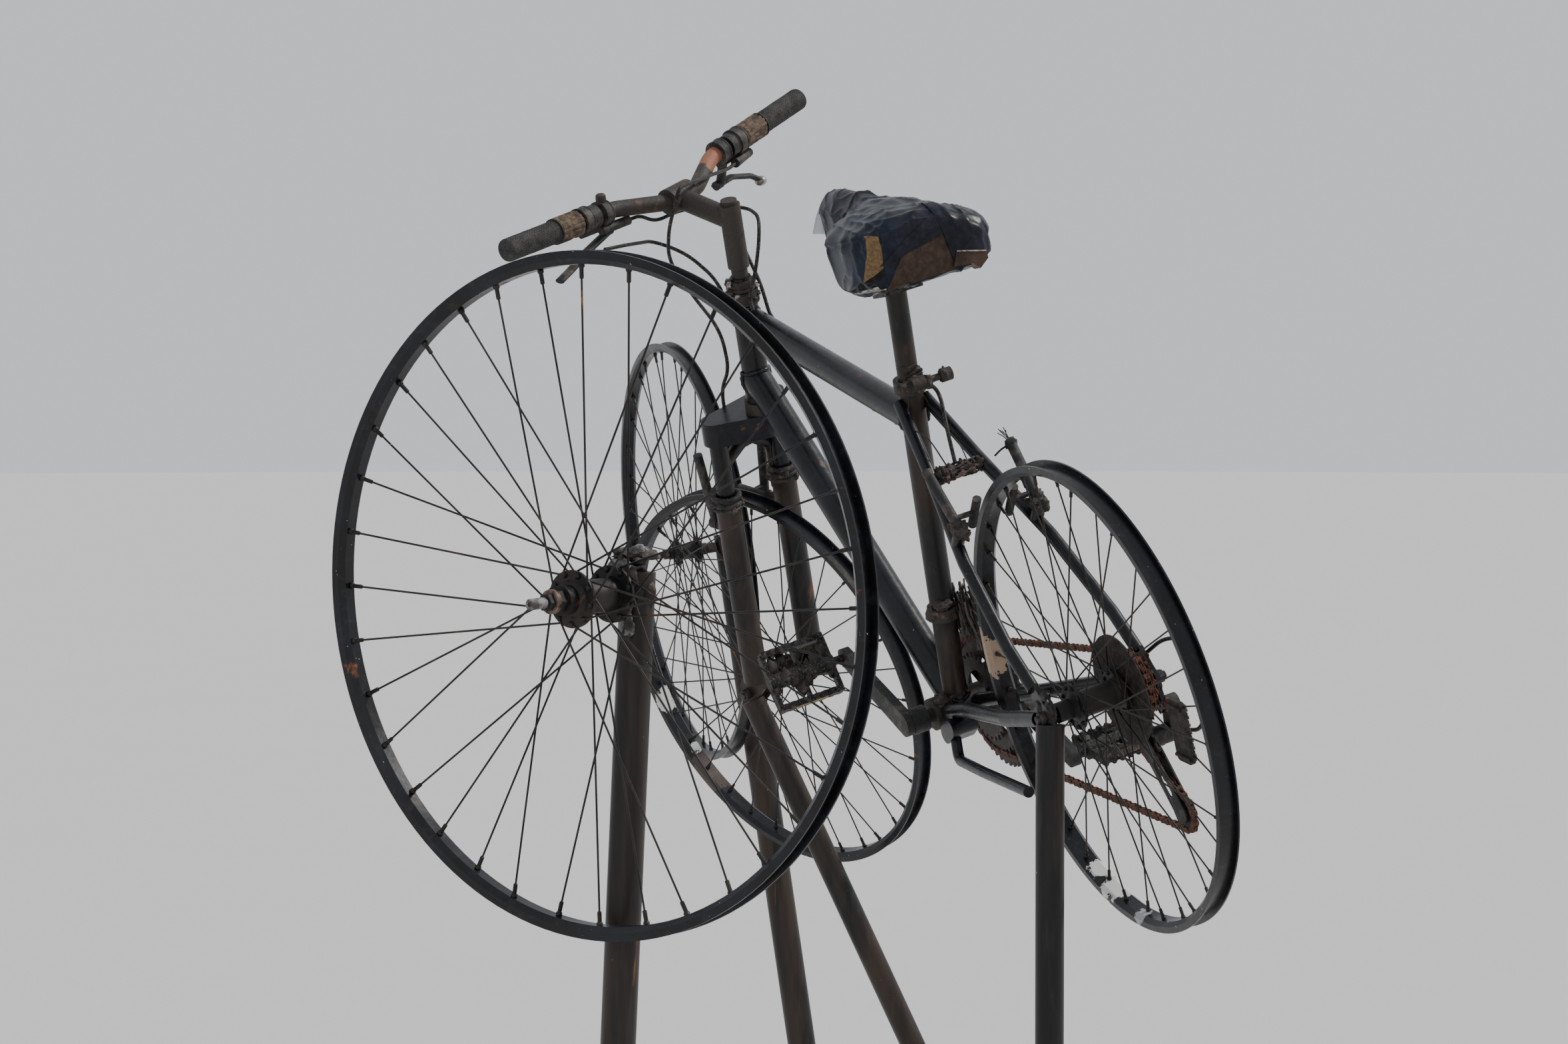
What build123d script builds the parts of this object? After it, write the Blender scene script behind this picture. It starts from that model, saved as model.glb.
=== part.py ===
from build123d import *
from math import acos, atan2, cos, degrees, pi, radians, sin, sqrt, tan
import os

# A lawn sculpture made of an old mountain bicycle and two larger spoked wheels, held up on steel pipes.
# Millimetres. X points the way the bicycle heads, Y to its left, Z up, and the ground is Z = 0.
# The origin is the foot of the rear post, straight below the left rear dropout.

# How the bicycle is held
REAR_DROPOUT_HEIGHT = 1203.0
LEAN = 16.8
NOSE_DOWN = 2.4
STEER = 19.7
STEM_TWIST = 7.0

# Frame, in its own plane: X forward and Z up from the rear hub, Y to the left
WHEELBASE = 1059.0
CHAINSTAY = 456.0
BRACKET_DROP = 28.0
SEAT_ANGLE = 69.7
HEAD_ANGLE = 68.4
SEAT_TUBE_LENGTH = 456.0
SEAT_TUBE_D = 31.8
HEAD_TUBE_D = 36.0
HEAD_TUBE_BORE = 30.0
HEAD_TUBE_LOW = 447.0
HEAD_TUBE_LENGTH = 144.0
HEAD_TOP = HEAD_TUBE_LOW + HEAD_TUBE_LENGTH
TOP_TUBE_D = 38.0
TOP_TUBE_BELOW = 22.0
TOP_TUBE_FRONT = 120.0
TOP_TUBE_OVERLAP = 30.0
DOWN_TUBE_D = 40.0
DOWN_TUBE_FRONT = 34.0
BRACKET_D = 42.0
BRACKET_BORE = 34.0
BRACKET_WIDTH = 73.0
BRACKET_CUP = 12.0
SEAT_STAY_D = 16.0
CHAIN_STAY_D = 19.0
REAR_DROPOUT_GAP = 135.0
DROPOUT_T = 6.0
BRIDGE_D = 14.0
BOSS_D = 16.0

# Fork, measured along the steering axis from the foot of the perpendicular out of the front hub
FORK_RAKE = 57.0
STEERER_D = 28.0
STEERER_BORE = 22.8
STEERER_TOP = 628.0
CROWN_TOP = 430.0
CROWN_HEIGHT = 34.0
CROWN_ROUND = 19.0
CUP_D = 42.0
LOCK_NUT_D = 35.0
STANCHION_D = 25.4
STANCHION_SPACING = 108.0
STANCHION_END = 205.0
FORK_LEG_D = 35.0
FORK_LEG_OFFSET = 37.0
FORK_SEAL_AT = 300.0
FORK_SEAL_H = 13.0
FORK_SEAL_D = 39.0
FORK_LEG_FOOT = 26.0
FORK_DROPOUT_GAP = 100.0
FRONT_BOSS_AT = 262.0
FRONT_BOSS_AHEAD = 67.0
FRONT_ARM = 108.0
ARCH_D = 15.0
ARCH_TOP = 372.0

# Cockpit
QUILL_D = 22.2
QUILL_END = 520.0
STEM_TOP = 738.0
STEM_D = 29.0
CLAMP_AT = 730.0
CLAMP_AHEAD = 88.0
CLAMP_D = 36.0
CLAMP_WIDTH = 44.0
BAR_D = 22.2
BAR_HALF = 306.0
BAR_BEND = ((30.0, 0.0, 0.0), (104.0, 34.0, 12.0), (BAR_HALF, 38.0, 28.0))
BAR_ROLL = 2.1
BAR_SHIFT = -9.0
GRIP_D = 31.0
GRIP_LENGTH = 90.0
SHIFTER_D = 37.0
SHIFTER_LENGTH = 45.0
GRIP_RIBS = 9
SHIFTER_RIBS = 6
RIB_DEPTH = 1.5
LEVER_RINGS = ((137.0, 152.0, 36.0), (152.0, 168.0, 32.0), (176.0, 190.0, 34.0))
LEVER_T = 8.0
LEVER_W = 14.0
# Lever pieces beside the bar: how far ahead, how far up and how far in from the bar's end
LEVER_BARREL = {
    "left": ((-6.0, -20.0, 172.0), (-6.0, -20.0, 226.0)),
    "right": ((2.0, -28.0, 120.0), (-12.0, -22.0, 168.0)),
}
LEVER_BODY = {"left": (-4.0, -24.0, 184.0), "right": (12.0, -50.0, 178.0)}
LEVER_BLADE = {
    "left": ((-4.0, -24.0, 192.0), (0.0, -42.0, 150.0), (0.0, -60.0, 112.0), (-4.0, -66.0, 88.0)),
    "right": ((12.0, -50.0, 190.0), (16.0, -54.0, 150.0), (12.0, -68.0, 114.0), (6.0, -80.0, 100.0)),
}

# Seat
SEATPOST_D = 26.8
SEATPOST_SHOWN = 138.0
SEATPOST_SUNK = 92.0
SEAT_COLLAR_D = 40.0
RAIL_D = 7.0
RAIL_HALF = 18.0
RAIL_BEHIND = 110.0
RAIL_AHEAD = 52.0
CLAMP_BLOCK = (44.0, 50.0, 30.0)

# Drive
CRANK_LENGTH = 170.0
CRANK_ANGLE = 30.0
CRANK_INNER = 62.0
CRANK_OUTER = 78.0
SPINDLE_D = 17.0
PEDAL_LENGTH = 92.0
PEDAL_WIDTH = 82.0
PEDAL_SIDE_T = 8.0
PEDAL_SIDE_H = 16.0
PEDAL_BARREL_D = 22.0
PEDAL_SPINDLE_D = 11.0
PEDAL_TILT = (-72.0, 12.0)
PITCH = 12.7
RING_TEETH = (48, 38, 28)
RING_STEP = 7.8
RING_T = 3.0
COG_TEETH = (24, 22, 20, 18, 16, 14)
COG_FIRST = -36.0
COG_GAP = 4.6
COG_T = 2.0
CHAIN_RING = 1
CHAIN_COG = 2
LINK_HALF_H = 3.9
# Links' outlines: from which pin, how far past it along the chain, and the share of the half height
INNER_LINK = ((0, -3.2, 1), (1, 3.2, 1), (1, 3.2, -1), (0, -3.2, -1))
OUTER_LINK = ((0, -4.2, 0), (0, -1.4, 1), (1, 1.4, 1), (1, 4.2, 0), (1, 1.4, -1), (0, -1.4, -1))
INNER_LINK_HALF_W = 2.4
OUTER_LINK_T = 1.0
JOCKEY_TEETH = 11
JOCKEYS = ((6.0, -72.0), (-38.0, -154.0))
HUB_END_D = 24.0
DERAILLEUR_CABLE = (
    (33.0, -78.9, 23.0), (-30.0, -84.0, 46.0), (-88.0, -84.0, 46.0), (-108.0, -82.0, -8.0),
    (-72.0, -81.0, -64.0), (-20.3, -81.0, -66.0),
)

# Wheels
SMALL_RIM_D = 571.0
SMALL_RIM_W = 26.0
LARGE_RIM_D = 640.0
LARGE_RIM_W = 22.0
RIM_H = 13.0
RIM_WALL = 2.2
RIM_WELL = 7.0
SPOKES = 36
SPOKE_D = 2.0
SPOKE_STEP = 2.2
SPOKE_CROSS = 60.0
FLANGE_T = 3.2
AXLE_D = 9.5
RUNNING_GAP = 0.3

# Loose wheels: middle of the hub, compass angle and rise of the axle, and how far the post stands off
NEAR_WHEEL = ((-695.0, 772.0, 1393.0), 122.6, -2.3, 66.0)
FAR_WHEEL = ((1530.0, -76.0, 1328.0), 87.1, -7.3, 66.0)

# Cables
CABLE_D = 5.0
ARC_SHARE = 0.45

# Posts
POST_D = 33.7
FAR_POST_D = 42.4
POST_WALL = 3.2
POST_CAP = 4.0
POST_PLUG = 16.0
REAR_POST_BELOW = 10.0
NEAR_POST_FOOT = (-639.0, 774.0, 0.0)
FAR_POST_FOOT = (1411.0, -307.0, 0.0)
BRACE_FOOT = (810.0, -486.0, 0.0)
POST_ABOVE_AXLE = 18.0


def unit(angle):
    return Vector(cos(radians(angle)), 0, sin(radians(angle)))


def rod(start, end, diameter):
    run = Vector(end) - Vector(start)
    place = Plane(origin=Vector(start), z_dir=run).location
    return place * Cylinder(diameter / 2, run.length, align=(Align.CENTER, Align.CENTER, Align.MIN))


def bent_rod(points, diameter, radii):
    path = FilletPolyline(*points, radius=radii)
    start = Plane(origin=path @ 0, z_dir=path % 0)
    return sweep(start * Circle(diameter / 2), path=path)


def arcs(points):
    """The largest bend radii that a route's runs leave room for."""
    radii = []
    for before, at, after in zip(points, points[1:], points[2:]):
        first, second = Vector(at) - Vector(before), Vector(after) - Vector(at)
        half_turn = radians(first.get_angle(second)) / 2
        radii.append(ARC_SHARE * min(first.length, second.length) / tan(half_turn))
    return radii


def cable(points):
    return bent_rod(points, CABLE_D, arcs(points))


def turned(profile):
    """A solid turned about Z from (radius, height) points."""
    return revolve(make_face(Polyline(*[(r, 0, z) for r, z in profile], close=True)), Axis.Z, 360)


def ring(outer, inner, low, high):
    return turned([(inner / 2, low), (outer / 2, low), (outer / 2, high), (inner / 2, high)])


def plate(points, side, thickness):
    """A plate in the frame's plane from (X, Z) points, its middle at Y = side."""
    outline = make_face(Polyline(*[(x, side, z) for x, z in points], close=True))
    return extrude(outline, thickness / 2, dir=(0, 1, 0), both=True)


def round_outline(circles):
    """The outline drawn tight round (X, Y, radius) circles."""
    edges = []
    for x, y, radius in circles:
        edges += (Pos(x, y) * Circle(radius)).edges()
    return make_hull(edges)


def whole(parts):
    return parts[0].fuse(*parts[1:]) if len(parts) > 1 else parts[0]


def spot(location, point):
    return (location * Pos(*point)).position


# The frame's plane stands in the world, and the fork and the handlebar turn about the steering axis
TURN = Rot(0, NOSE_DOWN, 0) * Rot(-LEAN, 0, 0)
REAR_HUB = Vector(0, 0, REAR_DROPOUT_HEIGHT) - spot(TURN, (0, REAR_DROPOUT_GAP / 2, 0))
FRAME = Pos(*REAR_HUB) * TURN
BRACKET = Vector(sqrt(CHAINSTAY**2 - BRACKET_DROP**2), 0, -BRACKET_DROP)
FRONT_HUB = Vector(WHEELBASE, 0, 0)
SEAT_UP = unit(180 - SEAT_ANGLE)
HEAD_UP = unit(180 - HEAD_ANGLE)
HEAD_AHEAD = unit(90 - HEAD_ANGLE)
HEAD_FOOT = FRONT_HUB - HEAD_AHEAD * FORK_RAKE
HEAD = Plane(origin=HEAD_FOOT, x_dir=HEAD_AHEAD, z_dir=HEAD_UP).location
FORK = FRAME * HEAD * Rot(0, 0, STEER)
BARS = FRAME * HEAD * Rot(0, 0, STEER + STEM_TWIST)
WHEEL_UPRIGHT = Rot(-90, 0, 0)
REAR_WHEEL = FRAME * WHEEL_UPRIGHT
FRONT_WHEEL = FORK * Pos(FORK_RAKE, 0, 0) * Rot(0, HEAD_ANGLE - 90, 0) * WHEEL_UPRIGHT


def on_seat(length, side=0.0):
    return BRACKET + SEAT_UP * length + Vector(0, side, 0)


def on_head(length):
    return HEAD_FOOT + HEAD_UP * length


TOP_TUBE_START = on_seat(SEAT_TUBE_LENGTH - TOP_TUBE_BELOW - TOP_TUBE_OVERLAP)
TOP_TUBE_END = on_head(HEAD_TUBE_LOW + TOP_TUBE_FRONT)


def loose_place(wheel):
    middle, compass, rise, _ = wheel
    across = (cos(radians(compass)), sin(radians(compass)))
    axis = (across[0] * cos(radians(rise)), across[1] * cos(radians(rise)), sin(radians(rise)))
    return Plane(origin=middle, x_dir=(across[1], -across[0], 0), z_dir=axis).location


NEAR_PLACE = loose_place(NEAR_WHEEL)
FAR_PLACE = loose_place(FAR_WHEEL)


# Wheels, each turned about Z with its left side up
def rim(diameter, width):
    outer, half = diameter / 2, width / 2
    inner, well = outer - RIM_H, outer - RIM_WELL
    shoulder = outer - 0.6 * RIM_H
    return turned([
        (outer, half), (outer, half - RIM_WALL), (well, half - RIM_WALL - 1.5),
        (well, RIM_WALL + 1.5 - half), (outer, RIM_WALL - half), (outer, -half),
        (shoulder, -half), (inner, 5.0 - half), (inner, half - 5.0), (shoulder, half),
    ])


def spoke(side, index, flange_r, flange_at, rim_r):
    lead = 1 if index % 2 == 0 else -1
    step = 360 / (SPOKES / 2)
    at_hub = radians(index * step + (side > 0) * step / 2)
    at_rim = at_hub + radians(lead * SPOKE_CROSS)
    hub_r = flange_r - 3.5
    start = Vector(hub_r * cos(at_hub), hub_r * sin(at_hub), side * flange_at + lead * SPOKE_STEP)
    end = Vector(rim_r * cos(at_rim), rim_r * sin(at_rim), side * 2.0)
    return rod(start, end, SPOKE_D)


def hub_with_spokes(rim_d, flange_r, left_at, right_at, barrel_r, left_end, right_end, end_r):
    bore = AXLE_D / 2 + RUNNING_GAP
    half_t = FLANGE_T / 2
    body = turned([
        (bore, left_end), (end_r, left_end), (end_r, left_at + 6), (barrel_r + 2, left_at + half_t),
        (flange_r, left_at + half_t), (flange_r, left_at - half_t), (barrel_r + 1, left_at - half_t),
        (barrel_r, left_at - 6), (barrel_r, 6 - right_at), (barrel_r + 1, half_t - right_at),
        (flange_r, half_t - right_at), (flange_r, -half_t - right_at), (barrel_r + 2, -half_t - right_at),
        (end_r, -right_at - 6), (end_r, -right_end), (bore, -right_end),
    ])
    rim_r = rim_d / 2 - RIM_H - 0.6
    spokes = []
    for side, flange_at in ((1, left_at), (-1, right_at)):
        spokes += [spoke(side, index, flange_r, flange_at, rim_r) for index in range(SPOKES // 2)]
    return body.fuse(*spokes)


def axle(left, right, nuts):
    """An axle along Z, with a nut's faces (from, to, diameter) for each nut."""
    pieces = [rod((0, 0, -right), (0, 0, left), AXLE_D)]
    for low, high, across in nuts:
        hexagon = Pos(0, 0, low) * extrude(RegularPolygon(across / 2, 6), high - low)
        pieces.append(hexagon)
    return whole(pieces)


nodes = {}

nodes["near_wheel_rim"] = NEAR_PLACE * rim(LARGE_RIM_D, LARGE_RIM_W)
nodes["near_wheel_hub"] = NEAR_PLACE * hub_with_spokes(LARGE_RIM_D, 27.0, 28.0, 28.0, 16.0, 46.0, 40.0, 14.0)
nodes["far_wheel_rim"] = FAR_PLACE * rim(LARGE_RIM_D, LARGE_RIM_W)
nodes["far_wheel_hub"] = FAR_PLACE * hub_with_spokes(LARGE_RIM_D, 20.0, 16.0, 16.0, 12.0, 30.0, 30.0, 9.0)
nodes["front_wheel_rim"] = FRONT_WHEEL * rim(SMALL_RIM_D, SMALL_RIM_W)
nodes["front_wheel_hub"] = FRONT_WHEEL * hub_with_spokes(SMALL_RIM_D, 20.0, 32.0, 32.0, 10.0, 45.0, 45.0, 9.0)
nodes["rear_wheel_rim"] = REAR_WHEEL * rim(SMALL_RIM_D, SMALL_RIM_W)
nodes["rear_wheel_hub"] = REAR_WHEEL * hub_with_spokes(SMALL_RIM_D, 28.0, 35.0, 20.0, 16.0, 60.0, 58.0, 12.0)
nodes["spoke_protector"] = REAR_WHEEL * ring(135.0, HUB_END_D + 0.4, -29.5, -27.5)

nodes["near_wheel_axle"] = NEAR_PLACE * axle(88.0, 66.0, [(47.0, 54.0, 22.0), (60.0, 67.0, 17.0)])
nodes["far_wheel_axle"] = FAR_PLACE * axle(44.0, 66.0, [(31.0, 38.0, 17.0), (-44.0, -31.0, 17.0)])
nodes["front_axle"] = FRONT_WHEEL * axle(68.0, 68.0, [(56.5, 65.0, 17.0), (-65.0, -56.5, 17.0)])
nodes["rear_axle"] = REAR_WHEEL * axle(86.0, 86.0, [(74.0, 82.0, 17.0), (-82.0, -74.0, 17.0)])


# Frame
def frame_nodes():
    shell_outer = Pos(*BRACKET) * WHEEL_UPRIGHT * Cylinder(BRACKET_D / 2, BRACKET_WIDTH)
    spindle_hole = Cylinder(SPINDLE_D / 2 + RUNNING_GAP, BRACKET_WIDTH + 2)
    cup_room = Cylinder(BRACKET_BORE / 2, BRACKET_WIDTH - 2 * BRACKET_CUP)
    shell = shell_outer - Pos(*BRACKET) * WHEEL_UPRIGHT * spindle_hole
    shell = shell - Pos(*BRACKET) * WHEEL_UPRIGHT * cup_room
    head_outer = rod(on_head(HEAD_TUBE_LOW), on_head(HEAD_TOP), HEAD_TUBE_D)
    head = head_outer - rod(on_head(HEAD_TUBE_LOW - 1), on_head(HEAD_TOP + 1), HEAD_TUBE_BORE)
    seat_outer = rod(on_seat(0), on_seat(SEAT_TUBE_LENGTH), SEAT_TUBE_D) - shell_outer
    bore_d = SEATPOST_D + 2 * RUNNING_GAP
    bore_low = SEAT_TUBE_LENGTH - SEATPOST_SUNK - 8
    seat = seat_outer - rod(on_seat(bore_low), on_seat(SEAT_TUBE_LENGTH + 1), bore_d)
    top = rod(TOP_TUBE_START, TOP_TUBE_END, TOP_TUBE_D)
    top = top - seat_outer - head_outer
    down = rod(on_seat(8), on_head(HEAD_TUBE_LOW + DOWN_TUBE_FRONT), DOWN_TUBE_D)
    down = down - shell_outer - seat_outer - head_outer - top
    return shell, head, seat, top, down, shell_outer, seat_outer


shell, head_tube, seat_tube, top_tube, down_tube, shell_outer, seat_outer = frame_nodes()


def largest(shape):
    return shape.solids().sort_by(SortBy.VOLUME)[-1]


top_tube = largest(top_tube)
down_tube = largest(down_tube)

# Rear dropouts: one plate a side with the stay ends, and the hanger on the right
DROPOUT_OUTLINE = (
    (-13, -10), (-8, -16), (12, -16), (34, -11), (34, 2), (24, 12), (26, 34), (10, 40), (-4, 16), (-14, 4),
)
HANGER = ((-10, -14), (12, -14), (10, -38), (-2, -42), (-12, -34))
STAY_ROUTE = ((0, 0.0), (0.24, 0.30), (0.56, 0.78), (0.86, 1.0), (1.0, 1.0))


def dropout(side):
    at = side * (REAR_DROPOUT_GAP + DROPOUT_T) / 2
    piece = plate(DROPOUT_OUTLINE, at, DROPOUT_T)
    if side < 0:
        piece = piece + plate(HANGER, at, DROPOUT_T)
    return piece - Pos(0, at, 0) * WHEEL_UPRIGHT * Cylinder(AXLE_D / 2 + 0.15, DROPOUT_T * 2)


def seat_stay(side):
    top, bottom = on_seat(SEAT_TUBE_LENGTH - 28), Vector(18, 0, 32)
    inner, outer = 17.0, (REAR_DROPOUT_GAP + DROPOUT_T) / 2
    points = [top + (bottom - top) * along + Vector(0, side * (inner + (outer - inner) * out), 0)
              for along, out in STAY_ROUTE]
    return bent_rod(points, SEAT_STAY_D, [90.0, 90.0, 40.0])


def chain_stay(side):
    outer = side * (REAR_DROPOUT_GAP + DROPOUT_T) / 2
    start = BRACKET + Vector(-8, side * 21, 0)
    points = [start, Vector(348, side * 28, -20), Vector(130, outer, -8), Vector(28, outer, -4)]
    return bent_rod(points, CHAIN_STAY_D, [60.0, 60.0])


bridge_at = on_seat(SEAT_TUBE_LENGTH - 28) * 0.73 + Vector(18, 0, 32) * 0.27
left_drop, right_drop = dropout(1), dropout(-1)
axle_hole = WHEEL_UPRIGHT * Cylinder(AXLE_D / 2 + 0.15, 400)
STAY_UP = (on_seat(SEAT_TUBE_LENGTH - 28) - Vector(18, 0, 32)).normalized()
STAY_BACK = Vector(-STAY_UP.Z, 0, STAY_UP.X)
REAR_BOSS_REACH = 22.0


def rear_boss(side, reach):
    """The middle of the brake boss on a seat stay, at a reach behind the stay."""
    at = on_seat(SEAT_TUBE_LENGTH - 28) * 0.5 + Vector(18, 0, 32) * 0.5
    return at + STAY_BACK * reach + Vector(0, side * 54, 0)


stays = whole([
    seat_stay(1), seat_stay(-1), rod(bridge_at + Vector(0, 36, 0), bridge_at + Vector(0, -36, 0), BRIDGE_D),
    rod(rear_boss(1, 0), rear_boss(1, REAR_BOSS_REACH), BOSS_D),
    rod(rear_boss(-1, 0), rear_boss(-1, REAR_BOSS_REACH), BOSS_D),
])
nodes["seat_stays"] = FRAME * (stays - seat_outer - left_drop - right_drop)
nodes["chain_stay_left"] = FRAME * (largest(chain_stay(1) - shell_outer) + left_drop - axle_hole)
nodes["chain_stay_right"] = FRAME * (largest(chain_stay(-1) - shell_outer) + right_drop - axle_hole)
nodes["bottom_bracket_shell"] = FRAME * shell
nodes["head_tube"] = FRAME * head_tube
nodes["seat_tube"] = FRAME * seat_tube
nodes["top_tube"] = FRAME * top_tube
nodes["down_tube"] = FRAME * down_tube

# Fork, about the steering axis: X ahead, Y to the left, Z up the axis
LEG_SIDE = STANCHION_SPACING / 2
CROWN_FRONT = FORK_LEG_OFFSET + CROWN_ROUND
headset = whole([
    ring(CUP_D, STEERER_D + 0.6, CROWN_TOP, HEAD_TUBE_LOW),
    ring(CUP_D - 6, STEERER_D + 0.6, CROWN_TOP, CROWN_TOP + 6),
])
upper_cup = ring(CUP_D, STEERER_D + 0.6, HEAD_TOP, HEAD_TOP + 15)
lock_nut = Pos(0, 0, HEAD_TOP + 15) * extrude(RegularPolygon(LOCK_NUT_D / 2, 6), 18)
lock_nut = lock_nut - Cylinder(STEERER_D / 2 + RUNNING_GAP, 2000)
nodes["headset_lower"] = FORK * headset
nodes["headset_upper"] = FORK * (upper_cup + lock_nut)
crown_outline = round_outline([
    (0, 0, 21.0), (FORK_LEG_OFFSET, LEG_SIDE, CROWN_ROUND), (FORK_LEG_OFFSET, -LEG_SIDE, CROWN_ROUND),
])
crown = Pos(0, 0, CROWN_TOP - CROWN_HEIGHT) * extrude(crown_outline, CROWN_HEIGHT)
steerer = rod((0, 0, CROWN_TOP - 10), (0, 0, STEERER_TOP), STEERER_D)
steerer = steerer - rod((0, 0, QUILL_END - 10), (0, 0, STEERER_TOP + 1), STEERER_BORE)
stanchions = []
for side in (1, -1):
    at = (FORK_LEG_OFFSET, side * LEG_SIDE)
    stanchions.append(rod((*at, STANCHION_END), (*at, CROWN_TOP), STANCHION_D))
nodes["fork_crown"] = FORK * whole([crown, steerer, *stanchions])


def fork_leg(side):
    at = (FORK_LEG_OFFSET, side * LEG_SIDE)
    leg = rod((*at, FORK_LEG_FOOT), (*at, FORK_SEAL_AT), FORK_LEG_D)
    leg = leg + rod((*at, FORK_SEAL_AT), (*at, FORK_SEAL_AT + FORK_SEAL_H), FORK_SEAL_D)
    tab_side = side * (FORK_DROPOUT_GAP / 2 + 3)
    tab = plate([(22, 52), (48, 52), (72, 8), (66, -13), (48, -13), (22, 16)], tab_side, 6)
    boss_side = side * (LEG_SIDE - 6)
    boss_root = (FORK_LEG_OFFSET, boss_side, FRONT_BOSS_AT)
    boss = rod(boss_root, (FRONT_BOSS_AHEAD, boss_side, FRONT_BOSS_AT), BOSS_D)
    leg = leg + tab + boss
    leg = leg - rod((*at, STANCHION_END - 5), (*at, FORK_SEAL_AT + 20), STANCHION_D + 2 * RUNNING_GAP)
    return leg - Pos(FORK_RAKE, tab_side, 0) * WHEEL_UPRIGHT * Cylinder(AXLE_D / 2 + 0.15, 20)


arch_x = FORK_LEG_OFFSET + 8
arch_side = LEG_SIDE - 8
arch_run = [(arch_x, y, z) for y, z in ((arch_side, 285), (arch_side, 350), (14, ARCH_TOP))]
arch_run += [(x, -y, z) for x, y, z in reversed(arch_run)]
arch = bent_rod(arch_run, ARCH_D, [24.0, 12.0, 12.0, 24.0])
arch = arch - rod((FORK_LEG_OFFSET, LEG_SIDE, 200), (FORK_LEG_OFFSET, LEG_SIDE, 400), STANCHION_D + 1)
arch = arch - rod((FORK_LEG_OFFSET, -LEG_SIDE, 200), (FORK_LEG_OFFSET, -LEG_SIDE, 400), STANCHION_D + 1)
lowers = whole([fork_leg(1), fork_leg(-1), largest(arch)])
nodes["fork_lowers"] = FORK * lowers

# Stem and handlebar
quill = rod((0, 0, QUILL_END), (0, 0, STEM_TOP), QUILL_D)
quill = quill + rod((0, 0, STEERER_TOP + 14), (0, 0, STEM_TOP - 6), STEM_D)
extension = rod((0, 0, STEM_TOP - 28), (CLAMP_AHEAD, 0, CLAMP_AT), STEM_D)
clamp_at = Pos(CLAMP_AHEAD, 0, CLAMP_AT) * Rot(BAR_ROLL, 0, 0)
clamp = clamp_at * WHEEL_UPRIGHT * Cylinder(CLAMP_D / 2, CLAMP_WIDTH)
bar_at = clamp_at * Pos(0, BAR_SHIFT, 0)
bar_points = [(x, -side, z) for side, x, z in reversed(BAR_BEND)] + [(x, side, z) for side, x, z in BAR_BEND]
bar = bar_at * bent_rod(bar_points, BAR_D, [60.0, 40.0, 40.0, 60.0])
nodes["stem"] = BARS * (whole([quill, extension, clamp]) - bar)
nodes["handlebar"] = BARS * bar

bar_tip = Vector(BAR_BEND[2][1], BAR_BEND[2][0], BAR_BEND[2][2])
bar_bend = Vector(BAR_BEND[1][1], BAR_BEND[1][0], BAR_BEND[1][2])


def bar_place(side):
    """On the bar's axis, Z inward from its end."""
    tip = Vector(bar_tip.X, side * bar_tip.Y, bar_tip.Z)
    bend = Vector(bar_bend.X, side * bar_bend.Y, bar_bend.Z)
    return bar_at * Plane(origin=tip, x_dir=(1, 0, 0), z_dir=bend - tip).location


def sleeve(outer, low, high):
    return ring(outer, BAR_D + 0.2, low, high)


def ribbed(outer, low, high, ribs):
    """A sleeve on the bar with grooves turned round it between its ribs."""
    bore, groove = BAR_D / 2 + 0.1, outer / 2 - RIB_DEPTH
    step = (high - low) / ribs
    profile = [(bore, low)]
    for index in range(ribs):
        start = low + index * step
        profile += [(groove, start), (outer / 2, start + 0.25 * step), (outer / 2, start + 0.75 * step)]
    profile += [(groove, high), (bore, high)]
    return turned(profile)


for name, side in (("left", 1), ("right", -1)):
    place = BARS * bar_place(side)
    grip = ribbed(GRIP_D, 0, GRIP_LENGTH, GRIP_RIBS) + rod((0, 0, -3), (0, 0, 0), GRIP_D)
    shifter = ribbed(SHIFTER_D, GRIP_LENGTH + RUNNING_GAP, GRIP_LENGTH + SHIFTER_LENGTH, SHIFTER_RIBS)
    nodes["grip_" + name] = place * grip
    nodes["shifter_" + name] = place * shifter
    rings = [sleeve(across, low, high) for low, high, across in LEVER_RINGS]
    mirrored = [[Vector(ahead, side * up, inward) for ahead, up, inward in run]
                for run in (LEVER_BARREL[name], (LEVER_BODY[name],), LEVER_BLADE[name])]
    (barrel_start, barrel_end), (body_at,), blade = mirrored
    neck = Vector(0, side * -14, body_at.Z)
    blade_path = FilletPolyline(*blade, radius=[16.0, 10.0])
    blade_start = Plane(origin=blade_path @ 0, x_dir=(1, 0, 0), z_dir=blade_path % 0)
    lever = whole([
        *rings,
        rod((0, side * -17, LEVER_RINGS[0][0] + 2), (0, side * -17, LEVER_RINGS[2][1] - 2), 12),
        rod(neck, body_at, 13), rod(barrel_start, barrel_end, 13), rod(body_at, blade[0], 13),
        sweep(blade_start * Ellipse(LEVER_W / 2, LEVER_T / 2), path=blade_path),
    ])
    nodes["brake_lever_" + name] = place * (lever - Cylinder(BAR_D / 2 + 0.1, 1000))

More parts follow.
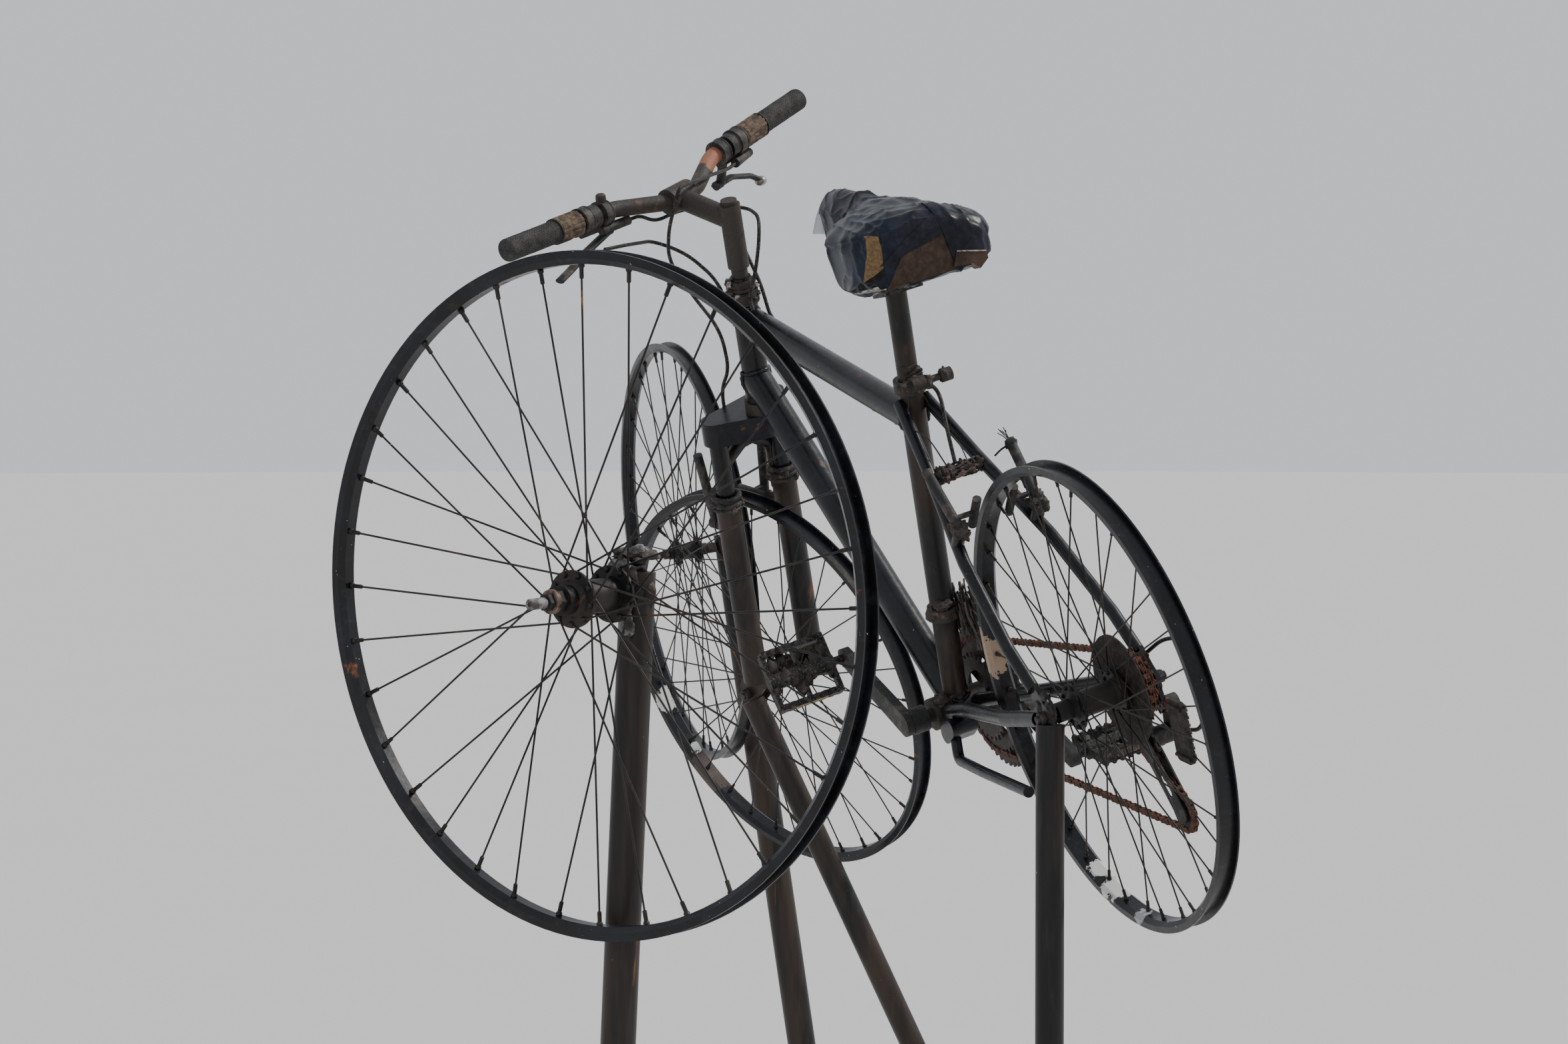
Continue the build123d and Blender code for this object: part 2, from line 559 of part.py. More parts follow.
# Seat
POST_TOP = SEAT_TUBE_LENGTH + SEATPOST_SHOWN
COLLAR_H = 15.0
ear = on_seat(SEAT_TUBE_LENGTH - COLLAR_H / 2) + Vector(-SEAT_COLLAR_D / 2 - 6, 0, 0)
collar = rod(on_seat(SEAT_TUBE_LENGTH - COLLAR_H), on_seat(SEAT_TUBE_LENGTH), SEAT_COLLAR_D)
collar = collar + rod(ear + Vector(0, 9, 0), ear + Vector(0, -9, 0), 18)
collar = collar + rod(ear + Vector(0, 26, 0), ear + Vector(0, -44, 0), 9)
collar = collar + rod(ear + Vector(0, -34, 0), ear + Vector(0, -46, 0), 17)
tube_bore = rod(on_seat(0), on_seat(SEAT_TUBE_LENGTH + 20), SEAT_TUBE_D + RUNNING_GAP)
nodes["seat_post"] = FRAME * rod(on_seat(SEAT_TUBE_LENGTH - SEATPOST_SUNK), on_seat(POST_TOP), SEATPOST_D)
nodes["seat_collar"] = FRAME * (collar - tube_bore)

# Saddle, wrapped in plastic: what its outlines from the side, from above and from behind have in common,
# in millimetres ahead of, beside and above the top of the seat post
SADDLE_SIDE = (
    (137, 118), (139, 98), (130, 61), (106, 48), (14, 2), (-36, -14), (-143, -14), (-146, 31),
    (-138, 63), (-117, 75), (-56, 84), (-13, 95), (31, 107), (77, 113),
)
SADDLE_BEHIND = (
    (93, -16), (95, 22), (84, 52), (52, 78), (26, 120), (-26, 120), (-46, 78), (-72, 50), (-94, 24),
    (-93, -16),
)
SADDLE_ROUND = 8.0
# Circles that its outline from above goes round: ahead, beside, radius
SADDLE_NOSE = ((114.0, 0.0, 23.0), (14.0, 0.0, 34.0))
SADDLE_WINGS = (
    (14.0, 0.0, 34.0), (-74.0, 61.0, 31.0), (-74.0, -61.0, 31.0), (-111.0, 48.0, 33.0), (-111.0, -48.0, 33.0),
)
SADDLE_AT = on_seat(POST_TOP)
RAIL_HEIGHT = 8.0


def saddle():
    reach = 200
    from_side = make_face(Polyline(*[(x, 0, z) for x, z in SADDLE_SIDE], close=True))
    from_behind = fillet(make_face(Polyline(*SADDLE_BEHIND, close=True)).vertices(), SADDLE_ROUND)
    from_above = round_outline(SADDLE_NOSE) + round_outline(SADDLE_WINGS)
    body = extrude(from_side, reach, dir=(0, 1, 0), both=True)
    body = body & extrude(Plane.YZ * from_behind, reach, both=True) & extrude(from_above, reach, both=True)
    room_top = RAIL_HEIGHT + RAIL_D / 2 + RUNNING_GAP
    rails_room = Pos((RAIL_AHEAD - RAIL_BEHIND) / 2, 0, room_top - reach / 2)
    rails_room *= Box(RAIL_AHEAD + RAIL_BEHIND + 2, 2 * RAIL_HALF + RAIL_D + 2, reach)
    block_room = Pos(0, 0, room_top - reach / 2) * Box(CLAMP_BLOCK[0] + 16, CLAMP_BLOCK[1] + 2, reach)
    return largest(body - rails_room - block_room)


def saddle_clamp():
    rails = []
    for side in (RAIL_HALF, -RAIL_HALF):
        rails.append(rod((-RAIL_BEHIND, side, RAIL_HEIGHT), (RAIL_AHEAD, side, RAIL_HEIGHT), RAIL_D))
    block = Pos(0, 0, RAIL_HEIGHT - CLAMP_BLOCK[2] / 2) * Box(*CLAMP_BLOCK)
    post_room = rod(SEAT_UP * -SEATPOST_SHOWN, SEAT_UP * RUNNING_GAP, SEATPOST_D + 0.4)
    return whole([block, *rails]) - post_room


nodes["saddle"] = FRAME * Pos(*SADDLE_AT) * saddle()
nodes["saddle_clamp"] = FRAME * Pos(*SADDLE_AT) * saddle_clamp()

# Drive
CHAIN_SIDE = COG_FIRST - CHAIN_COG * COG_GAP
RING_SIDES = (CHAIN_SIDE - RING_STEP, CHAIN_SIDE, CHAIN_SIDE + RING_STEP)
RING_INNER = (66.0, 54.0, 36.0)
SPACER_AT = (70.5, 52.5)
TOOTH = ((-0.34, -3.6), (-0.13, 2.6), (0.13, 2.6), (0.34, -3.6))


def pitch_radius(teeth):
    return PITCH / (2 * sin(pi / teeth))


def around(angle, radius):
    """(X, Z) at an angle and a radius from the bottom bracket."""
    return BRACKET.X + radius * cos(radians(angle)), BRACKET.Z + radius * sin(radians(angle))


def hull_plate(circles, low, high):
    """A plate round (X, Z, radius) circles in the frame's plane, from Y = low to Y = high."""
    outline = round_outline([(x, -z, radius) for x, z, radius in circles])
    return WHEEL_UPRIGHT * Pos(0, 0, low) * extrude(outline, high - low)


def toothed(teeth, inner, at, side, thickness):
    """A toothed ring standing in the frame's plane."""
    radius = pitch_radius(teeth)
    points = []
    for index in range(teeth):
        for share, above in TOOTH:
            angle = radians((index + share) * 360 / teeth)
            points.append(((radius + above) * cos(angle), (radius + above) * sin(angle)))
    blank = extrude(make_face(Polyline(*points, close=True)) - Circle(inner), thickness)
    return Pos(at[0], side, at[1]) * WHEEL_UPRIGHT * Pos(0, 0, -thickness / 2) * blank


BRACKET_AT = (BRACKET.X, BRACKET.Z)
rings = [toothed(teeth, inner, BRACKET_AT, side, RING_T)
         for teeth, inner, side in zip(RING_TEETH, RING_INNER, RING_SIDES)]
spacers = []
for index in range(5):
    for level, radius in enumerate(SPACER_AT):
        x, z = around(72 * index + CRANK_ANGLE, radius)
        spacers.append(rod((x, RING_SIDES[level], z), (x, RING_SIDES[level + 1], z), 9.0))
chainrings = whole(rings + spacers)
nodes["chainrings"] = FRAME * chainrings

PEDAL_AT = {1: around(CRANK_ANGLE, CRANK_LENGTH), -1: around(CRANK_ANGLE + 180, CRANK_LENGTH)}
SPIDER_FACE = RING_SIDES[0] - RING_T / 2


def crank_arm(side):
    low, high = sorted((side * (CRANK_INNER + 4), side * CRANK_OUTER))
    arm = hull_plate([(*BRACKET_AT, 16), (*PEDAL_AT[side], 12.5)], low, high)
    boss_low, boss_high = sorted((side * 46, side * (CRANK_INNER + 6)))
    return arm + hull_plate([(*BRACKET_AT, 17)], boss_low, boss_high)


spider = []
for index in range(5):
    tip = around(72 * index + CRANK_ANGLE, 74)
    spider.append(hull_plate([(*BRACKET_AT, 17), (*tip, 8)], SPIDER_FACE - 5, SPIDER_FACE))
spindle = rod(BRACKET + Vector(0, 50, 0), BRACKET + Vector(0, -56, 0), SPINDLE_D)
nodes["crankset"] = FRAME * whole([spindle, crank_arm(1), crank_arm(-1), *spider])

cogs = [toothed(teeth, 20.0, (0, 0), COG_FIRST - index * COG_GAP, COG_T)
        for index, teeth in enumerate(COG_TEETH)]
cog_end = COG_FIRST - (len(COG_TEETH) - 1) * COG_GAP
cassette = whole([WHEEL_UPRIGHT * ring(43.0, HUB_END_D + 2 * RUNNING_GAP, cog_end - 3, COG_FIRST + 1), *cogs])
nodes["cassette"] = FRAME * cassette

# Chain: a belt round (X, Z, radius, turn) circles, turn -1 where it passes over the guide wheel's other side
jockey_r = pitch_radius(JOCKEY_TEETH)
belt = (
    (*BRACKET_AT, pitch_radius(RING_TEETH[CHAIN_RING]), 1), (*JOCKEYS[1], jockey_r, 1),
    (*JOCKEYS[0], jockey_r, -1), (0, 0, pitch_radius(COG_TEETH[CHAIN_COG]), 1),
)


def tangent(first, second):
    """Where a straight run leaves the first circle and where it meets the second."""
    (x1, z1, r1, t1), (x2, z2, r2, t2) = first, second
    length = sqrt((x2 - x1) ** 2 + (z2 - z1) ** 2)
    angle = atan2(z2 - z1, x2 - x1) + acos((t1 * r1 - t2 * r2) / length)
    nx, nz = cos(angle), sin(angle)
    return (x1 + nx * t1 * r1, z1 + nz * t1 * r1), (x2 + nx * t2 * r2, z2 + nz * t2 * r2)


def chain_path():
    runs = [tangent(belt[index], belt[(index + 1) % 4]) for index in range(4)]
    edges = []
    for index, (x, z, radius, turn) in enumerate(belt):
        start, end = runs[index - 1][1], runs[index][0]
        first, last = atan2(start[1] - z, start[0] - x), atan2(end[1] - z, end[0] - x)
        swept = -((first - last) % (2 * pi)) if turn > 0 else (last - first) % (2 * pi)
        middle = first + swept / 2
        halfway = (x + radius * cos(middle), CHAIN_SIDE, z + radius * sin(middle))
        edges.append(ThreePointArc((start[0], CHAIN_SIDE, start[1]), halfway, (end[0], CHAIN_SIDE, end[1])))
        after = runs[index][1]
        edges.append(Line((end[0], CHAIN_SIDE, end[1]), (after[0], CHAIN_SIDE, after[1])))
    return Wire(edges)


path = chain_path()
LINKS = 2 * round(path.length / PITCH / 2)
pins = [path.position_at(index / LINKS) for index in range(LINKS)]


def link(index, outline, low, high):
    """One layer of the link from a pin to the next, its sides at these distances from the chain's middle."""
    ends = pins[index], pins[(index + 1) % LINKS]
    along = (ends[1] - ends[0]).normalized()
    up = Vector(-along.Z, 0, along.X) * LINK_HALF_H
    corners = [ends[end] + along * past + up * share + Vector(0, low, 0) for end, past, share in outline]
    return extrude(make_face(Polyline(*corners, close=True)), high - low, dir=(0, 1, 0))


links = []
OUTER_LINK_HALF_W = INNER_LINK_HALF_W + OUTER_LINK_T
for index in range(0, LINKS, 2):
    links.append(link(index, INNER_LINK, -INNER_LINK_HALF_W, INNER_LINK_HALF_W))
    links.append(link(index + 1, OUTER_LINK, INNER_LINK_HALF_W, OUTER_LINK_HALF_W))
    links.append(link(index + 1, OUTER_LINK, -OUTER_LINK_HALF_W, -INNER_LINK_HALF_W))
jockeys = [toothed(JOCKEY_TEETH, 3.5, at, CHAIN_SIDE, 3.0) for at in JOCKEYS]
chain = whole(links) - chainrings - cassette - jockeys[0] - jockeys[1]
nodes["chain"] = FRAME * largest(chain)

# Rear derailleur: a cage round the two guide wheels, hung by two links from a knuckle on the hanger
CAGE_ROUND = 13.0
CAGE_T = 2.0
KNUCKLE_AT = (-2.0, -34.0)
KNUCKLE_REACH = 16.0
LINK_PLATE_T = 3.0
CAGE_RUN = (JOCKEYS[1][0] - JOCKEYS[0][0], JOCKEYS[1][1] - JOCKEYS[0][1])
cage = [(*at, CAGE_ROUND) for at in JOCKEYS]
guide = (JOCKEYS[0][0] + 4, JOCKEYS[0][1] + 4)
hanger_face = -(REAR_DROPOUT_GAP / 2 + DROPOUT_T + RUNNING_GAP)
knuckle_end = hanger_face - KNUCKLE_REACH
cage_in, cage_out = CHAIN_SIDE + 4.3, CHAIN_SIDE - 4.3
link_plate = [(*KNUCKLE_AT, 8), (*guide, 8)]
cage_window = [(JOCKEYS[0][0] + share * CAGE_RUN[0], JOCKEYS[0][1] + share * CAGE_RUN[1], 5.0)
               for share in (0.3, 0.7)]
rear_changer = [
    hull_plate(cage, cage_in, cage_in + CAGE_T) - hull_plate(cage_window, cage_in, cage_in + CAGE_T),
    hull_plate(cage, cage_out - CAGE_T, cage_out),
    hull_plate([(*KNUCKLE_AT, 11)], knuckle_end, hanger_face),
    hull_plate([(*guide, 12)], knuckle_end, cage_out),
    hull_plate(link_plate, knuckle_end, knuckle_end + LINK_PLATE_T),
    hull_plate(link_plate, hanger_face - LINK_PLATE_T, hanger_face),
    rod((-20, -81, -66), (guide[0], -81, guide[1]), 8),
]
guide_pins = [rod((x, cage_out, z), (x, cage_in + CAGE_T, z), 8) for x, z in JOCKEYS]
nodes["rear_derailleur"] = FRAME * whole([*rear_changer, *jockeys, *guide_pins])

# Front derailleur, clamped on the seat tube, its cage round the chain
CHANGER_AT = 136.0
CAGE_ANGLES = (74, 86, 98, 110, 122)
CAGE_LOW, CAGE_HIGH = 103.0, 126.0
cage_left, cage_right = RING_SIDES[2] + 5, RING_SIDES[0] - 5
cage_outline = [around(angle, CAGE_LOW) for angle in CAGE_ANGLES]
cage_outline += [around(angle, CAGE_HIGH) for angle in reversed(CAGE_ANGLES)]
tail_x, tail_z = around(121, 118)
swing_x, swing_z = around(101, 118)
front_changer = whole([
    rod(on_seat(CHANGER_AT - 8), on_seat(CHANGER_AT + 8), SEAT_TUBE_D + 8),
    plate(cage_outline, cage_left, CAGE_T), plate(cage_outline, cage_right, CAGE_T),
    rod((tail_x, cage_left, tail_z), (tail_x, cage_right, tail_z), 9),
    rod(on_seat(CHANGER_AT, -SEAT_TUBE_D / 2 - 1), (swing_x, cage_left, swing_z), 14),
])
nodes["front_derailleur"] = FRAME * largest(front_changer - tube_bore)

# Pedals: a barrel between two side plates toothed along both edges, each plate with a reflector's recess
PEDAL_START = CRANK_OUTER + 14
PEDAL_END = PEDAL_START + PEDAL_LENGTH
PEDAL_TEETH = 8
PEDAL_TOOTH = ((0.10, 0.0), (0.30, 3.0), (0.60, 3.0), (0.80, 0.0))
PEDAL_RIBS = ((PEDAL_START, 6.0), ((PEDAL_START + PEDAL_END) / 2 - 2, 4.0), (PEDAL_END - 6, 6.0))
REFLECTOR_RECESS = (2.0, 11.0, 50.0)


def pedal_side():
    """A side plate, standing in the plane across the pedal's width."""
    step = PEDAL_LENGTH / PEDAL_TEETH
    edge = [(PEDAL_SIDE_H / 2 + above, PEDAL_START + (index + share) * step)
            for index in range(PEDAL_TEETH) for share, above in PEDAL_TOOTH]
    outline = [(0, y, z) for y, z in edge] + [(0, -y, z) for y, z in reversed(edge)]
    side = extrude(make_face(Polyline(*outline, close=True)), PEDAL_SIDE_T / 2, dir=(1, 0, 0), both=True)
    recess_x = (PEDAL_SIDE_T - REFLECTOR_RECESS[0]) / 2
    return side - Pos(recess_x, 0, (PEDAL_START + PEDAL_END) / 2) * Box(*REFLECTOR_RECESS)


for name, side, tilt in (("left", 1, PEDAL_TILT[0]), ("right", -1, PEDAL_TILT[1])):
    spread = (PEDAL_WIDTH - PEDAL_SIDE_T) / 2
    pedal = [
        rod((0, 0, CRANK_OUTER), (0, 0, PEDAL_START + 2), PEDAL_SPINDLE_D),
        rod((0, 0, PEDAL_START), (0, 0, PEDAL_END), PEDAL_BARREL_D),
        Pos(spread, 0, 0) * pedal_side(), Rot(0, 0, 180) * Pos(spread, 0, 0) * pedal_side(),
    ]
    for at, thickness in PEDAL_RIBS:
        pedal.append(Pos(0, 0, at + thickness / 2) * Box(2 * spread, PEDAL_SIDE_H - 4, thickness))
    x, z = PEDAL_AT[side]
    outward = WHEEL_UPRIGHT if side > 0 else Rot(90, 0, 0)
    nodes["pedal_" + name] = FRAME * Pos(x, 0, z) * outward * Rot(0, 0, tilt) * whole(pedal)

# Kickstand, folded up along the left chain stay
STAND_D = 14.0
STAND_RUN = ((412, 30, -54), (398, 40, -84), (300, 50, -92), (146, 62, -104))
shell_clear = rod(BRACKET + Vector(0, 60, 0), BRACKET - Vector(0, 60, 0), BRACKET_D)
mount = hull_plate([(402, -44, 12), (420, -52, 12)], 4, 40) - shell_clear - chain_stay(1)
stand = bent_rod(STAND_RUN, STAND_D, [20.0, 60.0])
nodes["kickstand"] = FRAME * largest(mount + (stand - chain_stay(1)))

# Brakes: an arm on each boss, with its stud and pad
PAD_D = 11.0
PAD_HALF = 25.0
PAD_SIDE = 25.0
ARM_D = 13.0
REAR_ARM = 95.0
REAR_ARM_SPLAY = {"left": 4.0, "right": 12.0}
for name, side in (("left", 1), ("right", -1)):
    foot = rear_boss(side, REAR_BOSS_REACH + 0.3)
    head = foot + STAY_UP * REAR_ARM + Vector(0, -REAR_ARM_SPLAY[name], 0)
    stud = foot + STAY_UP * 18
    pad = Vector(stud.X, side * PAD_SIDE, stud.Z)
    nodes["rear_brake_" + name] = FRAME * whole([
        rod(foot, foot + STAY_BACK * 13, 18), rod(foot + STAY_BACK * 7, head + STAY_BACK * 7, ARM_D),
        rod(stud + STAY_BACK * 7, pad + STAY_BACK * 7, 7),
        rod(pad + STAY_BACK * (7 - PAD_HALF), pad + STAY_BACK * (7 + PAD_HALF), PAD_D),
    ])
    ahead = FRONT_BOSS_AHEAD + 0.3
    foot = Vector(ahead, side * (LEG_SIDE - 6), FRONT_BOSS_AT)
    head = Vector(ahead + 9, side * (LEG_SIDE + 6), FRONT_BOSS_AT + FRONT_ARM)
    stud = Vector(ahead + 6, side * (LEG_SIDE - 4), FRONT_BOSS_AT + 16)
    pad = Vector(stud.X, side * PAD_SIDE, stud.Z)
    nodes["front_brake_" + name] = FORK * whole([
        rod(foot, foot + Vector(13, 0, 0), 18), rod(foot + Vector(7, 0, 0), head, ARM_D), rod(stud, pad, 7),
        rod(pad - Vector(PAD_HALF, 0, 0), pad + Vector(PAD_HALF, 0, 0), PAD_D),
    ])

# Cables, each a bent rod resting on the piece it was tied to
TOP_TUBE_RISE = (TOP_TUBE_END.Z - TOP_TUBE_START.Z) / (TOP_TUBE_END.X - TOP_TUBE_START.X)


def under_top_tube(x):
    axis = TOP_TUBE_START.Z + TOP_TUBE_RISE * (x - TOP_TUBE_START.X)
    below = (TOP_TUBE_D / 2 + CABLE_D / 2 + RUNNING_GAP) * sqrt(1 + TOP_TUBE_RISE**2)
    return (x, 0, axis - below)


brake_cable = [
    under_top_tube(712), under_top_tube(446), (404, -22, 357), (370, -27, 374), (300, -28, 385),
    (262, -20, 372), (238, -6, 332), (bridge_at.X, 0, bridge_at.Z + BRIDGE_D / 2 + CABLE_D / 2 + RUNNING_GAP),
]
nodes["rear_brake_cable"] = FRAME * cable(brake_cable)
nodes["derailleur_cable"] = FRAME * cable(DERAILLEUR_CABLE)


def steered(points):
    """Points about the fork's axis, given in the frame."""
    return [(FRAME.inverse() * FORK * Pos(*point)).position for point in points]


def by_stem(points):
    return [(FRAME.inverse() * BARS * Pos(*point)).position for point in points]


def by_head(points):
    return [(HEAD * Pos(*point)).position for point in points]


CROWN_OFF = CABLE_D / 2 + RUNNING_GAP


def barrel_mouth(name, side):
    """Where a cable leaves a lever's barrel, and a point straight on from there."""
    start, end = [Vector(ahead, side * up, inward) for ahead, up, inward in LEVER_BARREL[name]]
    along = (end - start).normalized()
    return by_stem([spot(bar_place(side), end + along * (RUNNING_GAP + reach)) for reach in (0, 22)])


front_brake_run = barrel_mouth("right", -1)
front_brake_run += by_stem([(50, 36, 764), (56, 44, 740), (74, 44, 702), (95, 32, 650)])
front_brake_run += steered([(80, 22, 596), (36, 18, 548), (34, 16, 490)])
front_brake_run += steered([(CROWN_FRONT + CROWN_OFF, 14, 454), (CROWN_FRONT + CROWN_OFF, 14, 392)])
nodes["front_brake_cable"] = FRAME * cable(front_brake_run)
loop_run = barrel_mouth("left", 1) + by_stem([(112, 26, 702), (106, -30, 700)])
loop_run += by_head([(40, -40, 704), (-14, -34, 708), (-36, -20, 684), (-31, -10, 640), (-26, 2, 608)])
loop_run += by_head([(-40, 5, HEAD_TOP + 0.9)])
nodes["rear_brake_loop"] = FRAME * cable(loop_run)
left_shift_run = by_stem([(92, 152, 716), (96, 110, 704)])
left_shift_run += by_head([(108, 74, 668), (74, 42, 650), (20, 24.5, 622), (12.3, 16.8, 570)])
right_shift_run = by_head([(60, -30, 660), (22, -24.5, 640), (-6, -24.5, 614)])
right_shift_run += by_head([(-30, -22, 572), (-60, -22, 569)])
nodes["shift_cables"] = FRAME * Compound(children=[cable(left_shift_run), cable(right_shift_run)])

# Spoke reflector on the rear wheel
REFLECTOR_AT = (-182.0, -6.0, -35.0)
REFLECTOR_SIZE = (35.0, 10.0, 75.0)
reflector_turn = -degrees(atan2(REFLECTOR_AT[2], REFLECTOR_AT[0]))
reflector = Pos(*REFLECTOR_AT) * Rot(0, reflector_turn, 0) * Box(*REFLECTOR_SIZE)
nodes["spoke_reflector"] = FRAME * (reflector - FRAME.inverse() * nodes["rear_wheel_hub"])

# Posts: pipes closed at both ends and cut flat at the ground
near_top = spot(NEAR_PLACE, (0, 0, -NEAR_WHEEL[3]))
far_top = spot(FAR_PLACE, (0, 0, -FAR_WHEEL[3]))
brace_top = spot(FORK, (FORK_RAKE, FORK_DROPOUT_GAP / 2 + 3, 0))
rear_top = (0, 0, REAR_DROPOUT_HEIGHT - REAR_POST_BELOW)
posts = (
    ("rear_post", (0, 0, 0), rear_top, POST_D, 0.0, ("chain_stay_left", "rear_axle")),
    ("front_brace", BRACE_FOOT, brace_top, POST_D, -12.0, ("fork_lowers", "front_axle")),
    ("near_wheel_post", NEAR_POST_FOOT, near_top, POST_D, POST_ABOVE_AXLE, ("near_wheel_axle",)),
    ("far_wheel_post", FAR_POST_FOOT, far_top, FAR_POST_D, POST_ABOVE_AXLE, ("far_wheel_axle",)),
)
for name, foot, top, diameter, above, cutters in posts:
    along = (Vector(top) - Vector(foot)).normalized()
    outer = rod(Vector(foot) - along * 30, Vector(top) + along * above, diameter)
    bore_d = diameter - 2 * POST_WALL
    inner = rod(Vector(foot) + along * POST_PLUG, Vector(top) + along * (above - POST_CAP), bore_d)
    pipe = outer - inner - Pos(foot[0], foot[1], -50) * Box(300, 300, 100)
    for cutter in cutters:
        pipe = pipe - nodes[cutter]
    nodes[name] = largest(pipe)

os.makedirs("parts", exist_ok=True)
for name, shape in nodes.items():
    export_step(shape, "parts/" + name + ".step")
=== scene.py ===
import random
from math import acos, atan2, cos, pi, radians, sin, sqrt

import bmesh
import bpy
from mathutils import Matrix, Vector, noise
from mathutils.bvhtree import BVHTree


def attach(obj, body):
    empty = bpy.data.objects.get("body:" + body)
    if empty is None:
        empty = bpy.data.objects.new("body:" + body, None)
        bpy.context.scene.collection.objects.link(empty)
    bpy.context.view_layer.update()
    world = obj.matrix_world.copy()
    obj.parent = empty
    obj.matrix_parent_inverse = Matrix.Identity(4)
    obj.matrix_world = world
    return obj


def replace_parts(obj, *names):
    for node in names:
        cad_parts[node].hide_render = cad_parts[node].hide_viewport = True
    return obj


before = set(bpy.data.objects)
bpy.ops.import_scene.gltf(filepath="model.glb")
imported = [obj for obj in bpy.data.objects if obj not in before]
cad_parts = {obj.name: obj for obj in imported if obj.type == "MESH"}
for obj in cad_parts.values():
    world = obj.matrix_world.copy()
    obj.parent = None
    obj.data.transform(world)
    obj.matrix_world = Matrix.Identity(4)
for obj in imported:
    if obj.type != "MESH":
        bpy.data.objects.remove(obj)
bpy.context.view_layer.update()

MM = 0.001
FIXED = "stand_and_bicycle"

# The photograph's view: where the camera stands, its axes and its focal length on a 36 mm wide sensor
CAMERA_AT = (-4.2055, 1.8692, 1.600)
CAMERA_RIGHT = (-0.3441, -0.9389, 0.0)
CAMERA_UP = (0.0352, -0.0129, 0.9993)
CAMERA_BACK = (-0.9383, 0.3438, 0.0375)
SENSOR_WIDTH = 36.0
FOCAL_LENGTH = 91.308

# How the bicycle is held, as in the CAD source, in degrees and millimetres
LEAN = 16.8
NOSE_DOWN = 2.4
STEER = 19.7
STEM_TWIST = 7.0
REAR_HUB_SIDE = 67.5
REAR_DROPOUT_HEIGHT = 1203.0

# Sizes and spots that repeat the CAD source's, in degrees and millimetres
WHEELBASE = 1059.0
HEAD_ANGLE = 68.4
BRACKET = Vector((455.14, 0.0, -28.0))
BRACKET_D = 42.0
SEAT_UP = Vector((-0.34694, 0.0, 0.93789))
SEAT_TUBE_LENGTH = 456.0
SEAT_TUBE_D = 31.8
HEAD_UP = Vector((-0.36812, 0.0, 0.92978))
HEAD_TUBE_D = 36.0
TOP_TUBE_D = 38.0
TOP_TUBE_ON_SEAT = 404
TOP_TUBE_ON_HEAD = 567
DOWN_TUBE_D = 40.0
DOWN_TUBE_ON_SEAT = 8
DOWN_TUBE_ON_HEAD = 481
FORK_RAKE = 57.0
FORK_LEG_OFFSET = 37
STANCHION_SIDE = 54
CLAMP_AT = 730
CLAMP_AHEAD = 88
BAR_TIP = (38, 306, 28)
BAR_BEND = (34, 104, 12)
BAR_ROLL = 2.1
BAR_SHIFT = -9
CHAIN_SIDE = -45.2
LINKS = 120
LARGE_RIM_D = 640.0
SMALL_RIM_D = 571.0
SPOKES = 36
SPOKE_STEP = 2.2
SPOKE_CROSS = 60
# What the chain runs round, in its order: X, Z, radius and the way that it turns
BELT = ((455.14, -28.0, 76.90, 1), (-38.0, -154.0, 22.54, 1), (6.0, -72.0, 22.54, -1), (0.0, 0.0, 40.59, 1))
# Loose wheels: middle of the hub, compass angle and rise of the axle, and how far the post stands off
NEAR_WHEEL = ((-695.0, 772.0, 1393.0), 122.6, -2.3)
FAR_WHEEL = ((1530.0, -76.0, 1328.0), 87.1, -7.3)
LOOSE_POST_OFF = 66.0
# Pedals: side, tilt, and the spindle's X and Z
PEDALS = (("left", 1, -72, 602.4, 57.0), ("right", -1, 12, 307.9, -113.0))


def turn(axis, angle):
    return Matrix.Rotation(radians(angle), 4, axis)


def shift(*point):
    return Matrix.Translation(point)


def axes(ahead, axis):
    """A place whose X and Z run along these directions."""
    return Matrix((ahead, axis.cross(ahead), axis)).transposed().to_4x4()


# Places, each a matrix from its own millimetres to the scene's metres
TURN = turn("Y", NOSE_DOWN) @ turn("X", -LEAN)
REAR_HUB = Vector((0, 0, REAR_DROPOUT_HEIGHT)) - TURN @ Vector((0, REAR_HUB_SIDE, 0))
WORLD = Matrix.Scale(MM, 4)
FRAME = WORLD @ shift(*REAR_HUB) @ TURN
HEAD_SLOPE = radians(HEAD_ANGLE)
HEAD_FOOT = Vector((WHEELBASE - FORK_RAKE * sin(HEAD_SLOPE), 0, -FORK_RAKE * cos(HEAD_SLOPE)))
HEAD = FRAME @ shift(*HEAD_FOOT) @ turn("Y", HEAD_ANGLE - 90)
FORK = HEAD @ turn("Z", STEER)
BARS = FORK @ turn("Z", STEM_TWIST)
REAR_WHEEL = FRAME @ turn("X", -90)
FRONT_WHEEL = FORK @ shift(FORK_RAKE, 0, 0) @ turn("Y", HEAD_ANGLE - 90) @ turn("X", -90)


def loose_place(middle, compass, rise):
    """On a loose wheel's axle, Z along it."""
    across = Vector((cos(radians(compass)), sin(radians(compass)), 0))
    axis = across * cos(radians(rise)) + Vector((0, 0, sin(radians(rise))))
    return WORLD @ shift(*middle) @ axes(Vector((across.y, -across.x, 0)), axis)


NEAR_PLACE = loose_place(*NEAR_WHEEL)
FAR_PLACE = loose_place(*FAR_WHEEL)


def bar_place(side):
    """On the handlebar's axis, Z inward from its end."""
    tip, bend = (Vector((x, side * y, z)) for x, y, z in (BAR_TIP, BAR_BEND))
    inward = (bend - tip).normalized()
    ahead = (Vector((1, 0, 0)) - inward * inward.x).normalized()
    bar = BARS @ shift(CLAMP_AHEAD, 0, CLAMP_AT) @ turn("X", BAR_ROLL) @ shift(0, BAR_SHIFT, 0)
    return bar @ shift(*tip) @ axes(ahead, inward)


